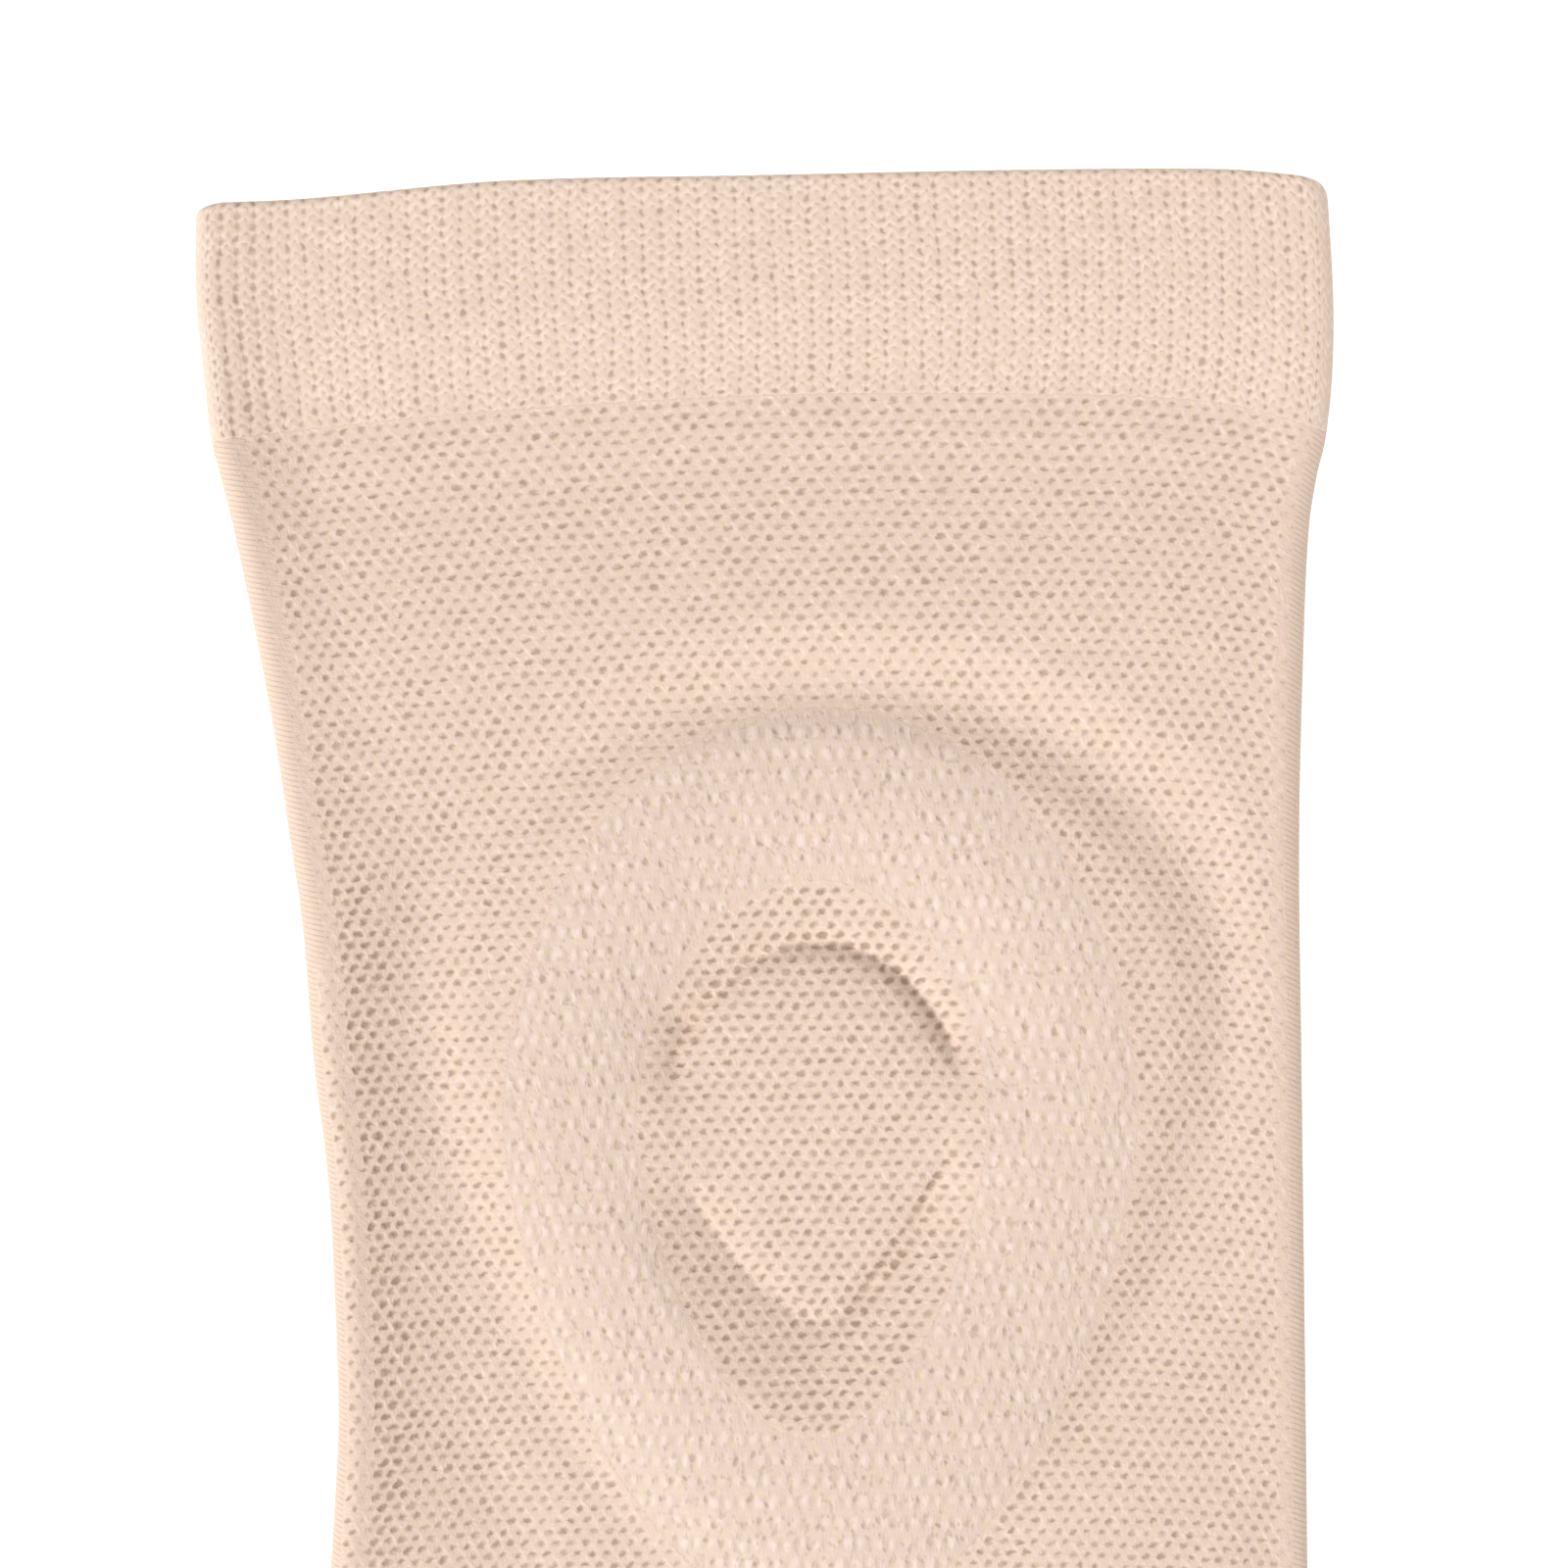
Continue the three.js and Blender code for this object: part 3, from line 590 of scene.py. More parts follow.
def close_under(piece):
    """Brings the ring's open edges down to the pad's floor and closes it there."""
    bpy.ops.object.mode_set(mode="EDIT")
    bpy.ops.mesh.select_mode(type="EDGE")
    bpy.ops.mesh.select_all(action="SELECT")
    bpy.ops.mesh.region_to_loop()
    bpy.ops.mesh.extrude_region_move()
    bpy.ops.object.mode_set(mode="OBJECT")
    for vertex in piece.data.vertices:
        if vertex.select:
            vertex.co.z = PAD_FLOOR * MM
    bpy.ops.object.mode_set(mode="EDIT")
    bpy.ops.mesh.bridge_edge_loops()
    bpy.ops.mesh.select_all(action="SELECT")
    bpy.ops.mesh.normals_make_consistent(inside=False)
    bpy.ops.object.mode_set(mode="OBJECT")
    bpy.ops.object.shade_smooth_by_angle(angle=math.radians(50))


def make_welt(name, seam, hem):
    """A welt: outer face, turned hem and inner face of a flattened tube, in one loop."""
    radius = WELT_WALL / 2
    rows = int(round((abs(LINES[hem][3] - LINES[seam][3]) - radius) / ROW))
    straight = rows_between(seam, hem)
    towards_hem = np.sign(LINES[hem][3] - LINES[seam][3])

    # Stations along the wall: stitch row, millimetres past the line there, depth below the face.
    stations = [(0, 0.0, 0.0)]
    stations += [(row, 0.0, 0.0) for row in np.arange(1 / 6, rows, 1 / 3)]
    for turn in np.radians(np.arange(90, -91, -15)):
        past = radius * (math.pi / 2 - turn) / ROW
        stations.append((rows + past, radius * math.cos(turn), radius * (1 - math.sin(turn))))
    stations += [(row, 0.0, WELT_WALL) for row in np.linspace(rows - 3, 0, 5)]
    v, shift, inset = np.array(stations).T

    u = np.arange(-HALF_WALES, HALF_WALES + 0.01, 0.25)
    fold = np.arange(0.5, FOLD_WALES - 0.01, 0.5)
    below = np.linspace(HALF_WALES + FOLD_WALES, -HALF_WALES - FOLD_WALES, 60)
    u = np.concatenate([u, HALF_WALES + fold, below, -HALF_WALES - fold[::-1]])
    is_under = np.zeros(len(u), dtype=bool)
    is_under[len(u) - len(fold) - len(below) : len(u) - len(fold)] = True

    uu, vv = np.meshgrid(u, v)
    share = np.minimum(vv, rows) / rows

    def line(x, share):
        """The rows, stopping short of the hem by its round."""
        return straight(x, share) + towards_hem * (shift[:, None] - radius * share)

    du, dv = wander(uu, vv, 0.06)
    calm = smooth((HALF_WALES - np.abs(uu)) / 2) * smooth(vv / 2) * smooth((rows - vv) / 3)
    inside = inset[:, None]
    def top(x, y):
        """From the body's height at the seam up to the welt's own."""
        seam_y = read(LINES, seam, x)
        return blend(body_top(x, seam_y), WELT_LAY, smooth(np.abs(y - seam_y) / WELT_TAPER))

    points = on_tube(uu + du * calm, share + dv * calm / rows, line, top, inside, 0.0)
    under_share = (below - below[-1]) / (below[0] - below[-1])
    (left, _, left_depth), (right, _, right_depth) = fold_ends(line, share[:, :1])
    start, end = left + left_depth, right - right_depth
    flat_x = blend(start, end, under_share[None, :])
    points[:, is_under, 0] = flat_x
    points[:, is_under, 1] = line(flat_x, np.broadcast_to(share[:, :1], flat_x.shape))
    points[:, is_under, 2] = np.broadcast_to(inside, flat_x.shape)
    points = round_corners(points, hem)

    openness = np.where(is_under[None, :], 0.0, 1.0) * smooth((HALF_WALES + 2 - np.abs(uu)) / 2.5)
    openness = openness * smooth(0.5 + vv) * smooth(1.3 - inset / radius)[:, None]
    # painted shade: more open holes beside the left fold, on its inner slope turned from the light
    openness = openness * (1 + 0.5 * smooth((WELT_SHADE_WALES - HALF_WALES - uu) / 2))
    return add_loop(name, points, np.stack([uu, vv], axis=-1), openness)


def round_corners(points, hem):
    """Rounds a welt's two corners at its hem."""
    x, y = points[..., 0], points[..., 1]
    to_hem = np.abs(read(LINES, hem, x) - y)
    left = x - x.min(axis=1, keepdims=True)
    right = x.max(axis=1, keepdims=True) - x
    for radius, inward, from_side in ((CORNERS[0], 1, left), (CORNERS[1], -1, right)):
        short = radius - np.clip(to_hem, 0, radius)
        pull = radius - np.sqrt(radius**2 - short**2)
        points[..., 0] += inward * pull * np.clip(1 - from_side / (4 * radius), 0, 1)
    return points


def add_loop(name, points, stitches, openness):
    """Sheet rolled into a closed ring: rows go round the wall and columns round the tube."""
    def wrapped(values):
        values = np.concatenate([values, values[:1]])
        return np.concatenate([values, values[:, :1]], axis=1)

    around = np.concatenate([points[-1:], points, points[:1]])
    around = np.concatenate([around[:, -1:], around, around[:, :1]], axis=1)
    normals = grid_normals(around)[1:-1, 1:-1]
    u, v = stitches[..., 0], stitches[..., 1]
    shaped = points + normals * welt_relief(u, v, openness)[..., None]
    piece = add_sheet(name, wrapped(shaped), wrapped(stitches), wrapped(openness))
    bpy.ops.object.mode_set(mode="EDIT")
    bpy.ops.mesh.select_all(action="SELECT")
    bpy.ops.mesh.remove_doubles(threshold=0.002 * MM)
    bpy.ops.mesh.normals_make_consistent(inside=False)
    bpy.ops.object.mode_set(mode="OBJECT")
    piece.data.shade_smooth()
    return piece


# --- Materials ---


def feed(socket, value):
    """Links a socket to another one, or sets its number or colour."""
    value = getattr(value, "socket", value)
    if isinstance(value, bpy.types.NodeSocket):
        socket.id_data.links.new(value, socket)
    else:
        socket.default_value = value


def calc(tree, operation, *values, clamp=False):
    """A Math node fed with values or numbers, as its output."""
    node = tree.nodes.new("ShaderNodeMath")
    node.operation = operation
    node.use_clamp = clamp
    for socket, value in zip(node.inputs, values):
        feed(socket, value)
    return Value(node.outputs[0])


class Value:
    """A socket's value in a sum: each step of the sum adds a node to its tree."""

    def __init__(self, socket):
        self.socket = socket

    def calc(self, operation, *others, clamp=False):
        return calc(self.socket.id_data, operation, self, *others, clamp=clamp)

    def __add__(self, other):
        return self.calc("ADD", other)

    def __sub__(self, other):
        return self.calc("SUBTRACT", other)

    def __rsub__(self, other):
        return calc(self.socket.id_data, "SUBTRACT", other, self)

    def __mul__(self, other):
        return self.calc("MULTIPLY", other)

    def __truediv__(self, other):
        return self.calc("DIVIDE", other)

    def __abs__(self):
        return self.calc("ABSOLUTE")

    def times_plus(self, factor, plus, clamp=False):
        return self.calc("MULTIPLY_ADD", factor, plus, clamp=clamp)

    def higher(self, other):
        return self.calc("MAXIMUM", other)

    def fade(self, start, end):
        """Smooth 0 to 1 as the value goes from start to end."""
        node = self.socket.id_data.nodes.new("ShaderNodeMapRange")
        node.interpolation_type = "SMOOTHSTEP"
        feed(node.inputs["From Min"], start)
        feed(node.inputs["From Max"], end)
        feed(node.inputs["Value"], self)
        return Value(node.outputs[0])


def distance(wide, high):
    """Length of the vector with these two sides."""
    return (wide * wide + high * high).calc("SQRT")


def across_and_up(tree, vector):
    """X and Y of a vector."""
    split = tree.nodes.new("ShaderNodeSeparateXYZ")
    feed(split.inputs[0], vector)
    return Value(split.outputs["X"]), Value(split.outputs["Y"])


def add_noise(tree, vector, scale, detail):
    """A flat Noise Texture over some coordinates, as its node."""
    noise = tree.nodes.new("ShaderNodeTexNoise")
    noise.noise_dimensions = "2D"
    feed(noise.inputs["Scale"], scale)
    feed(noise.inputs["Detail"], detail)
    feed(noise.inputs["Vector"], vector)
    return noise


def mix_colours(tree, share, first, second, kind="MIX"):
    """A colour Mix node fed with values or colours, as its output."""
    node = tree.nodes.new("ShaderNodeMix")
    node.data_type = "RGBA"
    node.blend_type = kind
    for name, value in (("Factor", share), ("A", first), ("B", second)):
        feed(next(s for s in node.inputs if s.name == name and s.enabled), value)
    return next(s for s in node.outputs if s.enabled)


def new_group(name, inputs, outputs):
    """Empty shader node group: inputs are (name, socket type, default), outputs (name, type)."""
    tree = bpy.data.node_groups.new(name, "ShaderNodeTree")
    for label, kind, default in inputs:
        socket = tree.interface.new_socket(name=label, in_out="INPUT", socket_type=kind)
        if default is not None:
            socket.default_value = default
    for label, kind in outputs:
        tree.interface.new_socket(name=label, in_out="OUTPUT", socket_type=kind)
    source = tree.nodes.new("NodeGroupInput").outputs
    sink = tree.nodes.new("NodeGroupOutput").inputs
    return tree, {label: Value(source[label]) for label, *_ in inputs}, sink


FLOAT = "NodeSocketFloat"
COLOUR = "NodeSocketColor"
VECTOR = "NodeSocketVector"
KNIT_SOCKETS = (
    [("Stitches", VECTOR, None), ("Openness", FLOAT, 1.0)],
    [("Hole", FLOAT), ("Ridge and highlight", FLOAT), ("Height", FLOAT), ("Uneven", FLOAT)],
)
CELL_SOCKETS = ("Across", "Along", "Uneven A", "Uneven B", "Uneven C")
CELL_DRIFT = 0.12  # how far a hole may sit off the middle of its stitch, in stitches


def group_node(tree, name):
    node = tree.nodes.new("ShaderNodeGroup")
    node.node_tree = bpy.data.node_groups[name]
    return node


def build_cell_group():
    """Place within a stitch, -0.5 to 0.5, and a few uneven numbers for that stitch."""
    tree, source, sink = new_group(
        "Stitch cell",
        [("Stitches", VECTOR, None), ("Stagger", FLOAT, 0.5), ("Drift", FLOAT, 0.07)],
        [(name, FLOAT) for name in CELL_SOCKETS],
    )
    x, y = across_and_up(tree, source["Stitches"])
    row = y.calc("FLOOR")
    shifted = x + row.calc("FLOORED_MODULO", 2.0) * source["Stagger"]
    column = shifted.calc("FLOOR")
    stitch = tree.nodes.new("ShaderNodeCombineXYZ")
    feed(stitch.inputs["X"], column)
    feed(stitch.inputs["Y"], row)
    chance = tree.nodes.new("ShaderNodeTexWhiteNoise")
    chance.noise_dimensions = "2D"
    feed(chance.inputs["Vector"], stitch.outputs[0])
    split = tree.nodes.new("ShaderNodeSeparateColor")
    feed(split.inputs[0], chance.outputs["Color"])
    numbers = [Value(socket) for socket in split.outputs]
    for name, place, cell, number in (
        ("Across", shifted, column, numbers[0]),
        ("Along", y, row, numbers[1]),
    ):
        feed(sink[name], place - cell - 0.5 + (number - 0.5) * source["Drift"])
    for name, number in zip(CELL_SOCKETS[2:], numbers):
        feed(sink[name], number)


def pulled(tree, stitches, scale, amount, detail=2.0):
    """Stitch coordinates drawn out of true by soft noise."""
    noise = add_noise(tree, stitches, scale, detail)
    around_zero = tree.nodes.new("ShaderNodeVectorMath")
    around_zero.operation = "SUBTRACT"
    feed(around_zero.inputs[0], noise.outputs["Color"])
    around_zero.inputs[1].default_value = (0.5, 0.5, 0.5)
    moved = tree.nodes.new("ShaderNodeVectorMath")
    moved.operation = "MULTIPLY_ADD"
    feed(moved.inputs[0], around_zero.outputs[0])
    moved.inputs[1].default_value = (*amount, 0)
    feed(moved.inputs[2], stitches)
    return moved.outputs[0]


def stitch_cell(tree, stitches, stagger=0.5):
    """The values of a stitch cell at these coordinates, in the order of its outputs."""
    cell = group_node(tree, "Stitch cell")
    cell.inputs["Stagger"].default_value = stagger
    cell.inputs["Drift"].default_value = CELL_DRIFT
    feed(cell.inputs["Stitches"], stitches)
    return [Value(cell.outputs[name]) for name in CELL_SOCKETS]


def finish_knit(sink, hole, ridge_and_highlight, height, uneven):
    for name, value in (("Hole", hole), ("Ridge and highlight", ridge_and_highlight), ("Height", height), ("Uneven", uneven)):
        feed(sink[name], value)


def build_mesh_group():
    """Mesh knit: an oval hole in each cell of a diamond net of yarn."""
    tree, source, sink = new_group("Mesh knit", *KNIT_SOCKETS)
    stitches, openness = source["Stitches"], source["Openness"]
    drawn = pulled(tree, stitches, 1.4, (0.5, 0.6))
    across, along, uneven_a, uneven_b, uneven_c = stitch_cell(tree, drawn)
    # The hole: wider or narrower from stitch to stitch, and leaning over; its mask sinks the bump
    # and paints the shade down in the hole, darker in some holes than others.
    size = uneven_c.times_plus(0.06, 0.23) * openness.times_plus(0.75, 0.25)
    leaning = across.times_plus(-LEAN, along)
    reach = distance(across / size, leaning / (size * 0.96))
    deep_shade = uneven_a.times_plus(0.42, 0.54)
    hole = reach.fade(1.5, 0.1) * deep_shade * openness.calc("MINIMUM", 1.5)
    # Slanting ribs where the knit is closed up.
    x, y = across_and_up(tree, stitches)
    slanting = x.times_plus(0.7, y * 2.0)
    between = slanting.calc("PINGPONG", 0.5).fade(0.25, 0.5)
    hole = hole.higher(between * (openness.fade(0.6, 0.1) * 0.3))
    # The net: two sets of slanting yarns, one a little prouder than the other and painted lighter,
    # as painted highlight where the light falls across it.
    yarns = []
    for slope, start, weight in ((1.0, 0.5, 1.0), (-1.0, 1.5, 0.7)):
        row = (y + 0.2).times_plus(slope, -start)
        off_yarn = row.times_plus(0.5, x).calc("PINGPONG", 0.5)
        yarns.append(off_yarn.fade(0.3, 0.0) * weight)
    tension = Value(add_noise(tree, stitches, 1.7, 1.0).outputs["Fac"])
    net = yarns[0].higher(yarns[1]) * tension.fade(0.36, 0.72)
    # A lump low on the yarn between two holes of a row: a little relief, and painted highlight on
    # its side towards the light from below.
    off_lump = distance((0.5 - abs(across)) / 0.32, (along + 0.24) / 0.25)
    lump = off_lump.fade(1.1, 0.1) * 0.7
    ridge_and_highlight = net.higher(lump) * openness.fade(0.0, 0.6)
    finish_knit(sink, hole, ridge_and_highlight, hole.times_plus(-0.6, ridge_and_highlight * 0.15), uneven_b)


def build_welt_group():
    """Welt knit: upright columns of small holes, with chevrons of yarn between them."""
    tree, source, sink = new_group("Welt knit", *KNIT_SOCKETS)
    openness = source["Openness"]
    drawn = pulled(tree, source["Stitches"], 1.1, (0.55, 0.6))
    across, along, uneven_a, uneven_b, uneven_c = stitch_cell(tree, drawn, stagger=0.0)
    width = uneven_c.times_plus(0.04, 0.118) * openness.times_plus(0.5, 0.5)
    reach = distance(across / width, along / (width * 1.9))
    hole = reach.fade(1.5, 0.2) * uneven_a.times_plus(0.35, 0.58)
    # A faint second dot between the columns, half a row off.
    off_dot = distance((0.5 - abs(across)) / 0.15, (0.5 - abs(along)) / 0.22)
    dot = off_dot.fade(1.4, 0.2) * uneven_b.times_plus(0.3, 0.12)
    both = hole.higher(dot) * openness.fade(0.0, 0.8)
    # Chevrons: yarn that climbs from a hole's side to the middle of the rib, a little relief that
    # also carries the painted highlight.
    climb = along - abs(across) * 1.5
    ridge_and_highlight = abs((climb + 10.35).calc("FRACT") - 0.5).fade(0.45, 0.0)
    finish_knit(sink, both, ridge_and_highlight, ridge_and_highlight * 0.25 - both, uneven_b)


def build_inlay_group():
    """Inlay knit: small dark marks laid like bricks, each in a faint slot, lumps between with
    painted highlight.
    """
    tree, source, sink = new_group("Inlay knit", *KNIT_SOCKETS)
    drawn = pulled(tree, source["Stitches"], 1.2, (0.55, 0.6), detail=3.0)
    across, along, uneven_a, uneven_b, uneven_c = stitch_cell(tree, drawn)

    def oval(side, rise, half_width, half_height, soft):
        """1 in the middle of an upright oval, fading out past its outline."""
        return distance(side / half_width, rise / half_height).fade(soft, 0.2)

    mark = oval(across, along + uneven_c.times_plus(0.4, -0.2), 0.17, 0.17, 1.5)
    slot = oval(across, along, 0.19, 0.36, 1.4) * uneven_b.times_plus(0.2, 0.07)
    hole = (mark * uneven_a.times_plus(0.75, 0.02, clamp=True)).higher(slot)
    lump = oval(0.5 - abs(across), along, 0.3, 0.34, 1.3) * 0.95
    # Odd dark specks, and the pale line between one row and the next, which like the lumps takes
    # the painted highlight.
    speck = Value(add_noise(tree, source["Stitches"], 1.9, 1.0).outputs["Fac"])
    line = abs(along).fade(0.34, 0.5) * 0.2
    inside = source["Openness"].fade(0.0, 0.9)
    hole = hole.higher(speck.fade(0.56, 0.8) * 0.4) * inside
    ridge_and_highlight = lump.higher(line) * inside
    finish_knit(sink, hole, ridge_and_highlight, hole.times_plus(-0.7, ridge_and_highlight * 0.2), uneven_b)


def build_yarn_group():
    """Plied yarn: fine slanting strands, and slow changes of tone along the cloth."""
    tree, source, sink = new_group(
        "Plied yarn",
        [("Stitches", VECTOR, None), ("Strands", FLOAT, 5.0)],
        [("Height", FLOAT), ("Tone", FLOAT), ("Tint", FLOAT)],
    )
    slant = tree.nodes.new("ShaderNodeMapping")
    slant.inputs["Rotation"].default_value = (0, 0, math.radians(32))
    slant.inputs["Scale"].default_value = (1.0, 0.45, 1.0)
    feed(slant.inputs["Vector"], source["Stitches"])
    strands = add_noise(tree, slant.outputs[0], source["Strands"], 2.5)
    strands.inputs["Roughness"].default_value = 0.6
    feed(sink["Height"], strands.outputs["Fac"])
    for name, scale in (("Tone", 0.55), ("Tint", 1.3)):
        feed(sink[name], add_noise(tree, source["Stitches"], scale, 2.0).outputs["Fac"])


def build_colour_group():
    """Colour of knitted cloth from its masks: yarn, painted highlight on the ridges, tinted yarn,
    and painted shade in the holes.
    """
    tree, source, sink = new_group(
        "Knit colour",
        [
            ("Yarn", COLOUR, (0.8, 0.6, 0.5, 1)),
            ("Painted highlight", COLOUR, (0.9, 0.75, 0.65, 1)),
            ("Tinted yarn", COLOUR, (0.8, 0.65, 0.48, 1)),
            ("Deep shade", COLOUR, (0.4, 0.3, 0.2, 1)),
            ("Hole", FLOAT, 0.0),
            ("Ridge and highlight", FLOAT, 0.0),
            ("Tone", FLOAT, 0.5),
            ("Tint", FLOAT, 0.5),
            ("Uneven", FLOAT, 0.5),
        ],
        [("Colour", COLOUR)],
    )
    tint = source["Tint"].fade(0.56, 0.76)
    tinted = mix_colours(tree, tint, source["Yarn"], source["Tinted yarn"])
    # painted highlight: the ridges take a lighter colour, as where light catches raised yarn
    highlight_share = source["Ridge and highlight"] * source["Uneven"].times_plus(0.7, 0.3)
    painted_highlight = mix_colours(tree, highlight_share, tinted, source["Painted highlight"])
    toned = source["Tone"].times_plus(0.06, 0.975)
    grey = tree.nodes.new("ShaderNodeCombineColor")
    for socket in grey.inputs:
        feed(socket, toned)
    shaded = mix_colours(tree, 1.0, painted_highlight, grey.outputs[0], "MULTIPLY")
    # painted shade: the holes' mask mixes in the dark colour of the shade down in them
    feed(sink["Colour"], mix_colours(tree, source["Hole"], shaded, source["Deep shade"]))


def knit_material(name, knit, colours, bump, roughness=0.86):
    """A material of one of the knits in its own colours."""
    material = bpy.data.materials.new(name)
    material.use_nodes = True
    tree = material.node_tree
    shader = tree.nodes["Principled BSDF"]
    shader.inputs["Roughness"].default_value = roughness
    shader.inputs["Specular IOR Level"].default_value = 0.25
    shader.inputs["Sheen Weight"].default_value = 0.12
    shader.inputs["Sheen Roughness"].default_value = 0.5
    stitches = tree.nodes.new("ShaderNodeUVMap")
    stitches.uv_map = "stitches"
    openness = tree.nodes.new("ShaderNodeAttribute")
    openness.attribute_name = "openness"
    pattern = group_node(tree, knit)
    yarn = group_node(tree, "Plied yarn")
    colour = group_node(tree, "Knit colour")
    feed(pattern.inputs["Stitches"], stitches.outputs[0])
    feed(pattern.inputs["Openness"], openness.outputs["Fac"])
    feed(yarn.inputs["Stitches"], stitches.outputs[0])
    for label in ("Yarn", "Painted highlight", "Tinted yarn", "Deep shade"):
        colour.inputs[label].default_value = (*colours[label], 1)
    for label in ("Hole", "Ridge and highlight", "Uneven"):
        feed(colour.inputs[label], pattern.outputs[label])
    for label in ("Tone", "Tint"):
        feed(colour.inputs[label], yarn.outputs[label])
    feed(shader.inputs["Base Color"], colour.outputs["Colour"])
    height = Value(yarn.outputs["Height"]).times_plus(0.35, pattern.outputs["Height"])
    relief = tree.nodes.new("ShaderNodeBump")
    relief.inputs["Strength"].default_value = 0.8
    relief.inputs["Distance"].default_value = bump * MM
    feed(relief.inputs["Height"], height)
    feed(shader.inputs["Normal"], relief.outputs[0])
    return material


# --- Settings ---


def colour_property(name, description, default):
    return bpy.props.FloatVectorProperty(
        name=name, description=description, default=default, subtype="COLOR", size=3, min=0, max=1
    )


class KneeSleeveColours(bpy.types.PropertyGroup):
    """Colours of the sleeve's yarns, with the painted highlight on them and the painted shade in
    their holes
    """

    body: colour_property("Body yarn", "Yarn of the mesh body and window", (0.78, 0.60, 0.486))
    welt: colour_property("Welt yarn", "Yarn of the two welts", (0.78, 0.605, 0.49))
    ring: colour_property("Ring yarn", "Yarn of the inlay knit over the pad", (0.765, 0.597, 0.497))
    # painted highlight: the lighter colour of yarn where light catches it
    painted_highlight: colour_property(
        "Painted highlight", "Yarn where it stands proud and catches the light", (0.90, 0.708, 0.602)
    )
    ring_painted_highlight: colour_property(
        "Painted highlight on ring yarn", "Ring yarn where it catches the light", (0.88, 0.735, 0.65)
    )
    tinted: colour_property(
        "Tinted yarn", "Yarn in its yellower stretches", (0.765, 0.62, 0.44)
    )
    # painted shade: the dark colour of the shade down in the holes
    deep_shade: colour_property(
        "Painted shade in the holes", "Painted shade down in the holes of the knit", (0.47, 0.335, 0.245)
    )


class KneeSleeveSizes(bpy.types.PropertyGroup):
    """Sizes of the sleeve's relief"""

    bump: bpy.props.FloatProperty(
        name="Yarn relief", description="Height of the yarn's fine relief, in millimetres",
        default=0.35, min=0.0, max=1.0,
    )
    camera_height: bpy.props.FloatProperty(
        name="Camera height", description="Distance of the camera above the floor",
        default=0.667, min=0.2, max=3.0, unit="LENGTH",
    )


# --- Operators ---


def colours_for(yarn):
    colours = bpy.context.scene.knee_sleeve_colours
    return {
        "Yarn": getattr(colours, yarn),
        "Painted highlight": colours.ring_painted_highlight if yarn == "ring" else colours.painted_highlight,
        "Tinted yarn": colours.tinted,
        "Deep shade": colours.deep_shade,
    }


def finish_piece(piece, node, material):
    piece.data.materials.clear()
    piece.data.materials.append(material)
    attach(piece, "root")
    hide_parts(node)


class SleeveKnits(bpy.types.Operator):
    """Builds the node groups and materials of the knits"""

    bl_idname = "knee_sleeve.knits"
    bl_label = "Knit materials"

    def execute(self, context):
        build_cell_group()
        build_mesh_group()
        build_welt_group()
        build_inlay_group()
        build_yarn_group()
        build_colour_group()
        bump = context.scene.knee_sleeve_sizes.bump
        knit_material("mesh_yarn", "Mesh knit", colours_for("body"), bump)
        knit_material("welt_yarn", "Welt knit", colours_for("welt"), bump * 0.5)
        knit_material("inlay_yarn", "Inlay knit", colours_for("ring"), bump, roughness=0.8)
        return {"FINISHED"}


class SleeveBody(bpy.types.Operator):
    """Knits the front with its folds, and the back"""

    bl_idname = "knee_sleeve.body"
    bl_label = "Front and back"

    def execute(self, context):
        material = bpy.data.materials["mesh_yarn"]
        front = make_front()
        finish_piece(front, "front_panel", material)
        back = make_back()
        finish_piece(back, "back_panel", material)
        return {"FINISHED"}


class SleeveWelts(bpy.types.Operator):
    """Knits the thigh welt and the calf welt, each turned double at its hem"""

    bl_idname = "knee_sleeve.welts"
    bl_label = "Welts"

    def execute(self, context):
        material = bpy.data.materials["welt_yarn"]
        thigh = make_welt("thigh_welt_knit", "thigh_seam", "thigh_hem")
        finish_piece(thigh, "thigh_welt", material)
        calf = make_welt("calf_welt_knit", "calf_seam", "calf_hem")
        finish_piece(calf, "calf_welt", material)
        return {"FINISHED"}


class SleevePad(bpy.types.Operator):
    """Knits the ring over the kneecap pad, and the window inside it"""

    bl_idname = "knee_sleeve.pad"
    bl_label = "Ring and window"

    def execute(self, context):
        ring = make_ring()
        finish_piece(ring, "patella_ring", bpy.data.materials["inlay_yarn"])
        window = make_window()
        finish_piece(window, "patella_window", bpy.data.materials["mesh_yarn"])
        return {"FINISHED"}


def area_light(name, place, aim, size, power, colour=(1, 1, 1)):
    bpy.ops.object.light_add(type="AREA", location=place)
    light = bpy.context.object
    light.name = light.data.name = name
    light.data.shape = "DISK"
    light.data.size = size
    light.data.energy = power
    light.data.color = colour
    light.rotation_euler = (Vector(aim) - Vector(place)).to_track_quat("-Z", "Y").to_euler()
    return light


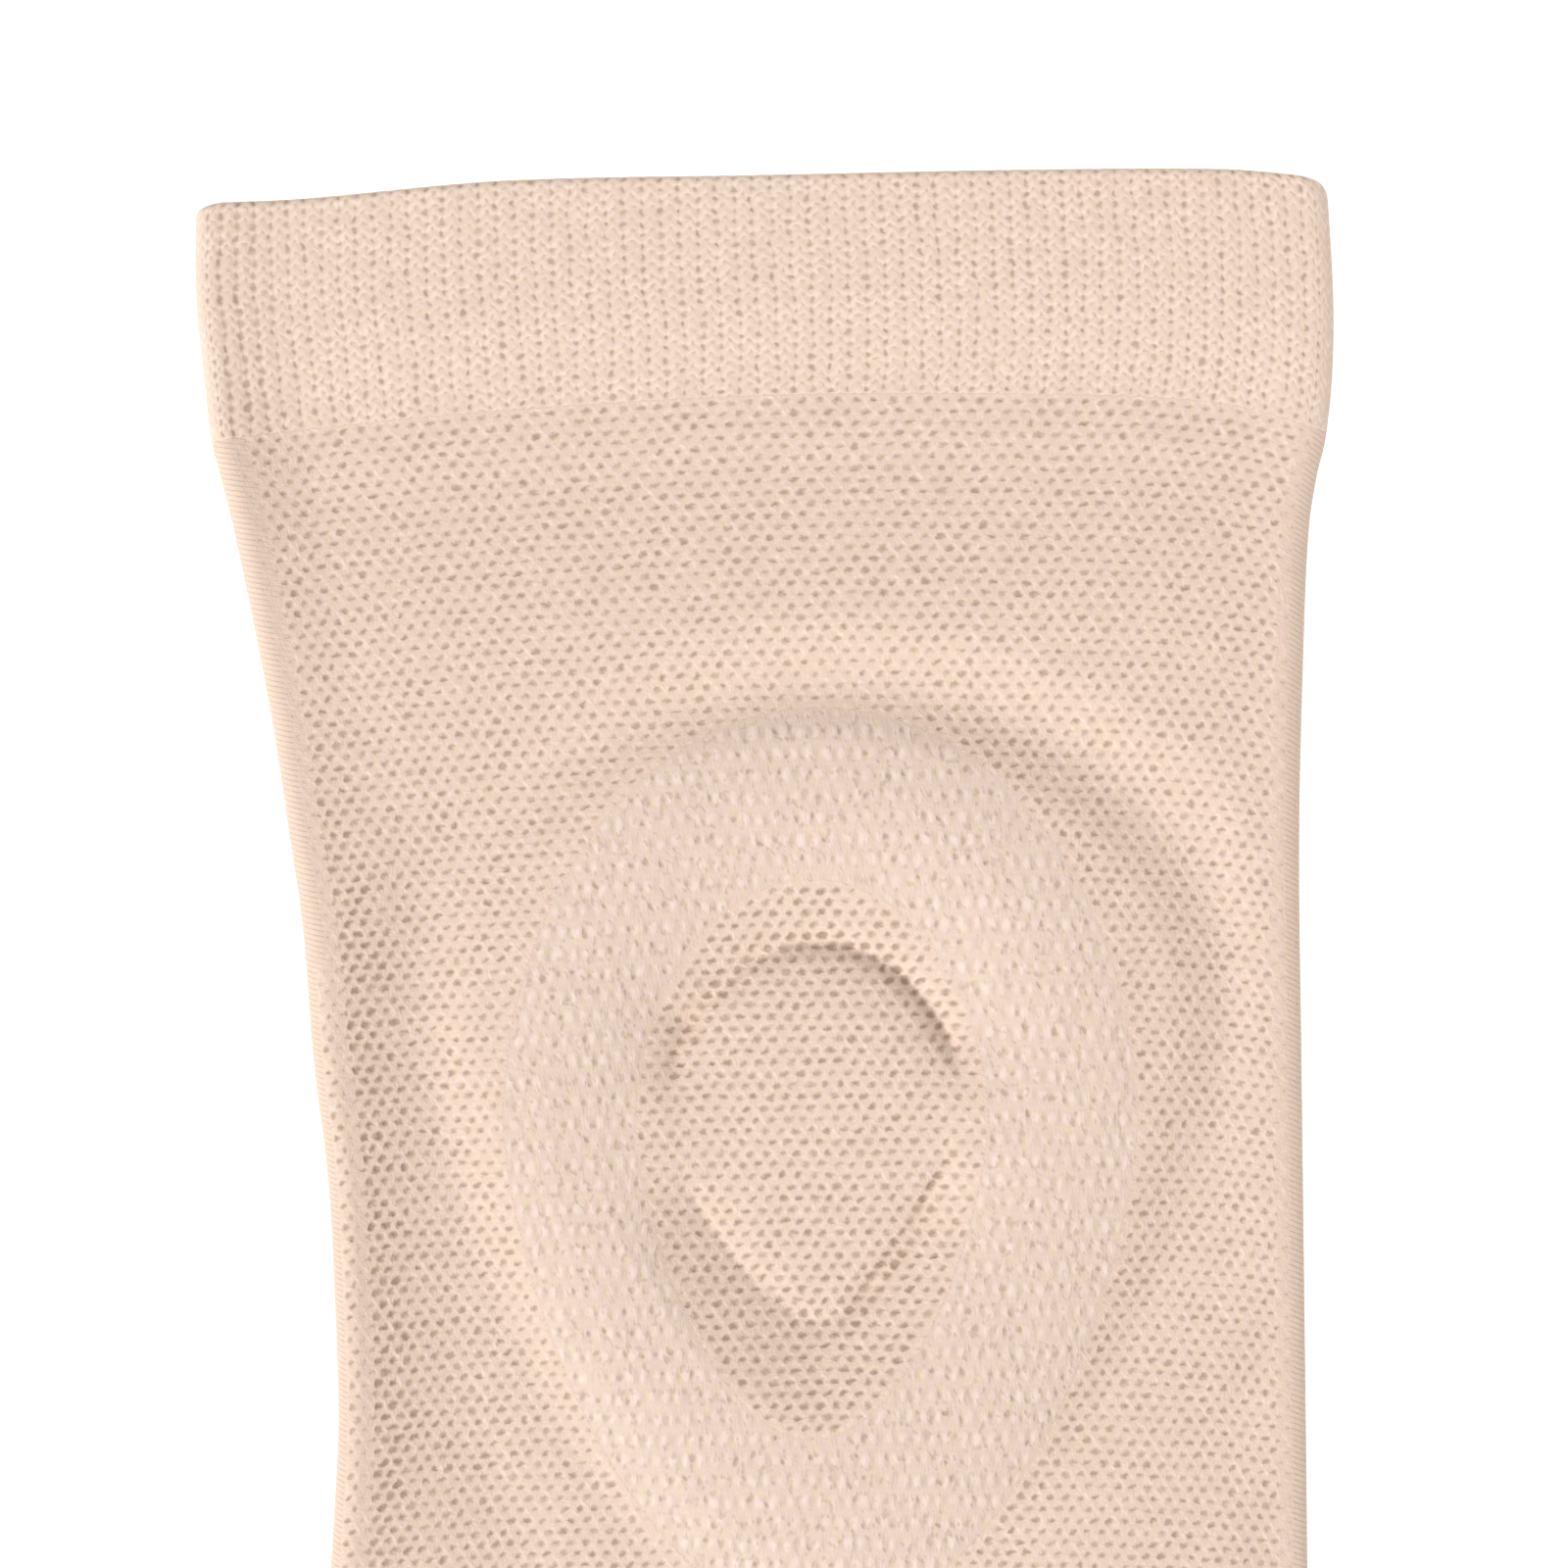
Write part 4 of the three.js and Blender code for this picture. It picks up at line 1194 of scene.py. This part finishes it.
class SleeveStage(bpy.types.Operator):
    """Sets the pale floor, the soft lights and the camera straight above"""

    bl_idname = "knee_sleeve.stage"
    bl_label = "Floor, lights and camera"

    def execute(self, context):
        bpy.ops.object.select_all(action="DESELECT")
        bpy.ops.mesh.primitive_plane_add(size=6, location=(0, 0, -FLOOR_DROP))
        floor = context.object
        floor.name = floor.data.name = "floor"
        paper = bpy.data.materials.new("floor_paper")
        paper.use_nodes = True
        shader = paper.node_tree.nodes["Principled BSDF"]
        shader.inputs["Base Color"].default_value = (0.93, 0.93, 0.93, 1)
        shader.inputs["Roughness"].default_value = 0.9
        shader.inputs["Emission Color"].default_value = (1, 1, 1, 1)
        shader.inputs["Emission Strength"].default_value = 0.6
        floor.data.materials.append(paper)

        area_light("key_light", (-3.0, -2.95, 4.2), AIM, 3.0, 350.0)
        area_light("fill_light", (0.6, 0.65, 1.2), AIM, 1.2, 5.0)
        area_light("edge_light", (2.3, 2.1, 0.5), AIM, 1.0, 14.0)
        world = bpy.data.worlds.new("soft_room")
        world.use_nodes = True
        sky = world.node_tree.nodes["Background"]
        sky.inputs["Color"].default_value = (1, 1, 1, 1)
        sky.inputs["Strength"].default_value = ROOM_LIGHT
        context.scene.world = world
        context.scene.view_settings.view_transform = "Standard"

        height = context.scene.knee_sleeve_sizes.camera_height
        bpy.ops.object.camera_add(location=(0.003, 0.0483, height + 0.004), rotation=(0, 0, 0))
        camera = context.object
        camera.name = camera.data.name = "camera"
        camera.data.lens = 100
        camera.data.sensor_width = 36
        camera.data.clip_start = 0.01
        context.scene.camera = camera
        return {"FINISHED"}


class SleevePanel(bpy.types.Panel):
    """Lists the sleeve's settings and steps"""

    bl_idname = "VIEW3D_PT_knee_sleeve"
    bl_label = "Knee sleeve"
    bl_space_type = "VIEW_3D"
    bl_region_type = "UI"
    bl_category = "Knee sleeve"

    def draw(self, context):
        for settings in (context.scene.knee_sleeve_sizes, context.scene.knee_sleeve_colours):
            for name in settings.__annotations__:
                self.layout.prop(settings, name)
        for operator in OPERATORS:
            self.layout.operator(operator.bl_idname)


OPERATORS = (SleeveStage, SleeveKnits, SleeveBody, SleeveWelts, SleevePad)
CLASSES = (KneeSleeveColours, KneeSleeveSizes, *OPERATORS, SleevePanel)


def register():
    for cls in CLASSES:
        bpy.utils.register_class(cls)
    bpy.types.Scene.knee_sleeve_colours = bpy.props.PointerProperty(type=KneeSleeveColours)
    bpy.types.Scene.knee_sleeve_sizes = bpy.props.PointerProperty(type=KneeSleeveSizes)


def unregister():
    del bpy.types.Scene.knee_sleeve_sizes
    del bpy.types.Scene.knee_sleeve_colours
    for cls in reversed(CLASSES):
        bpy.utils.unregister_class(cls)


def main():
    register()
    bpy.ops.knee_sleeve.stage()
    bpy.ops.knee_sleeve.knits()
    bpy.ops.knee_sleeve.body()
    bpy.ops.knee_sleeve.welts()
    bpy.ops.knee_sleeve.pad()


if __name__ == "__main__":
    main()
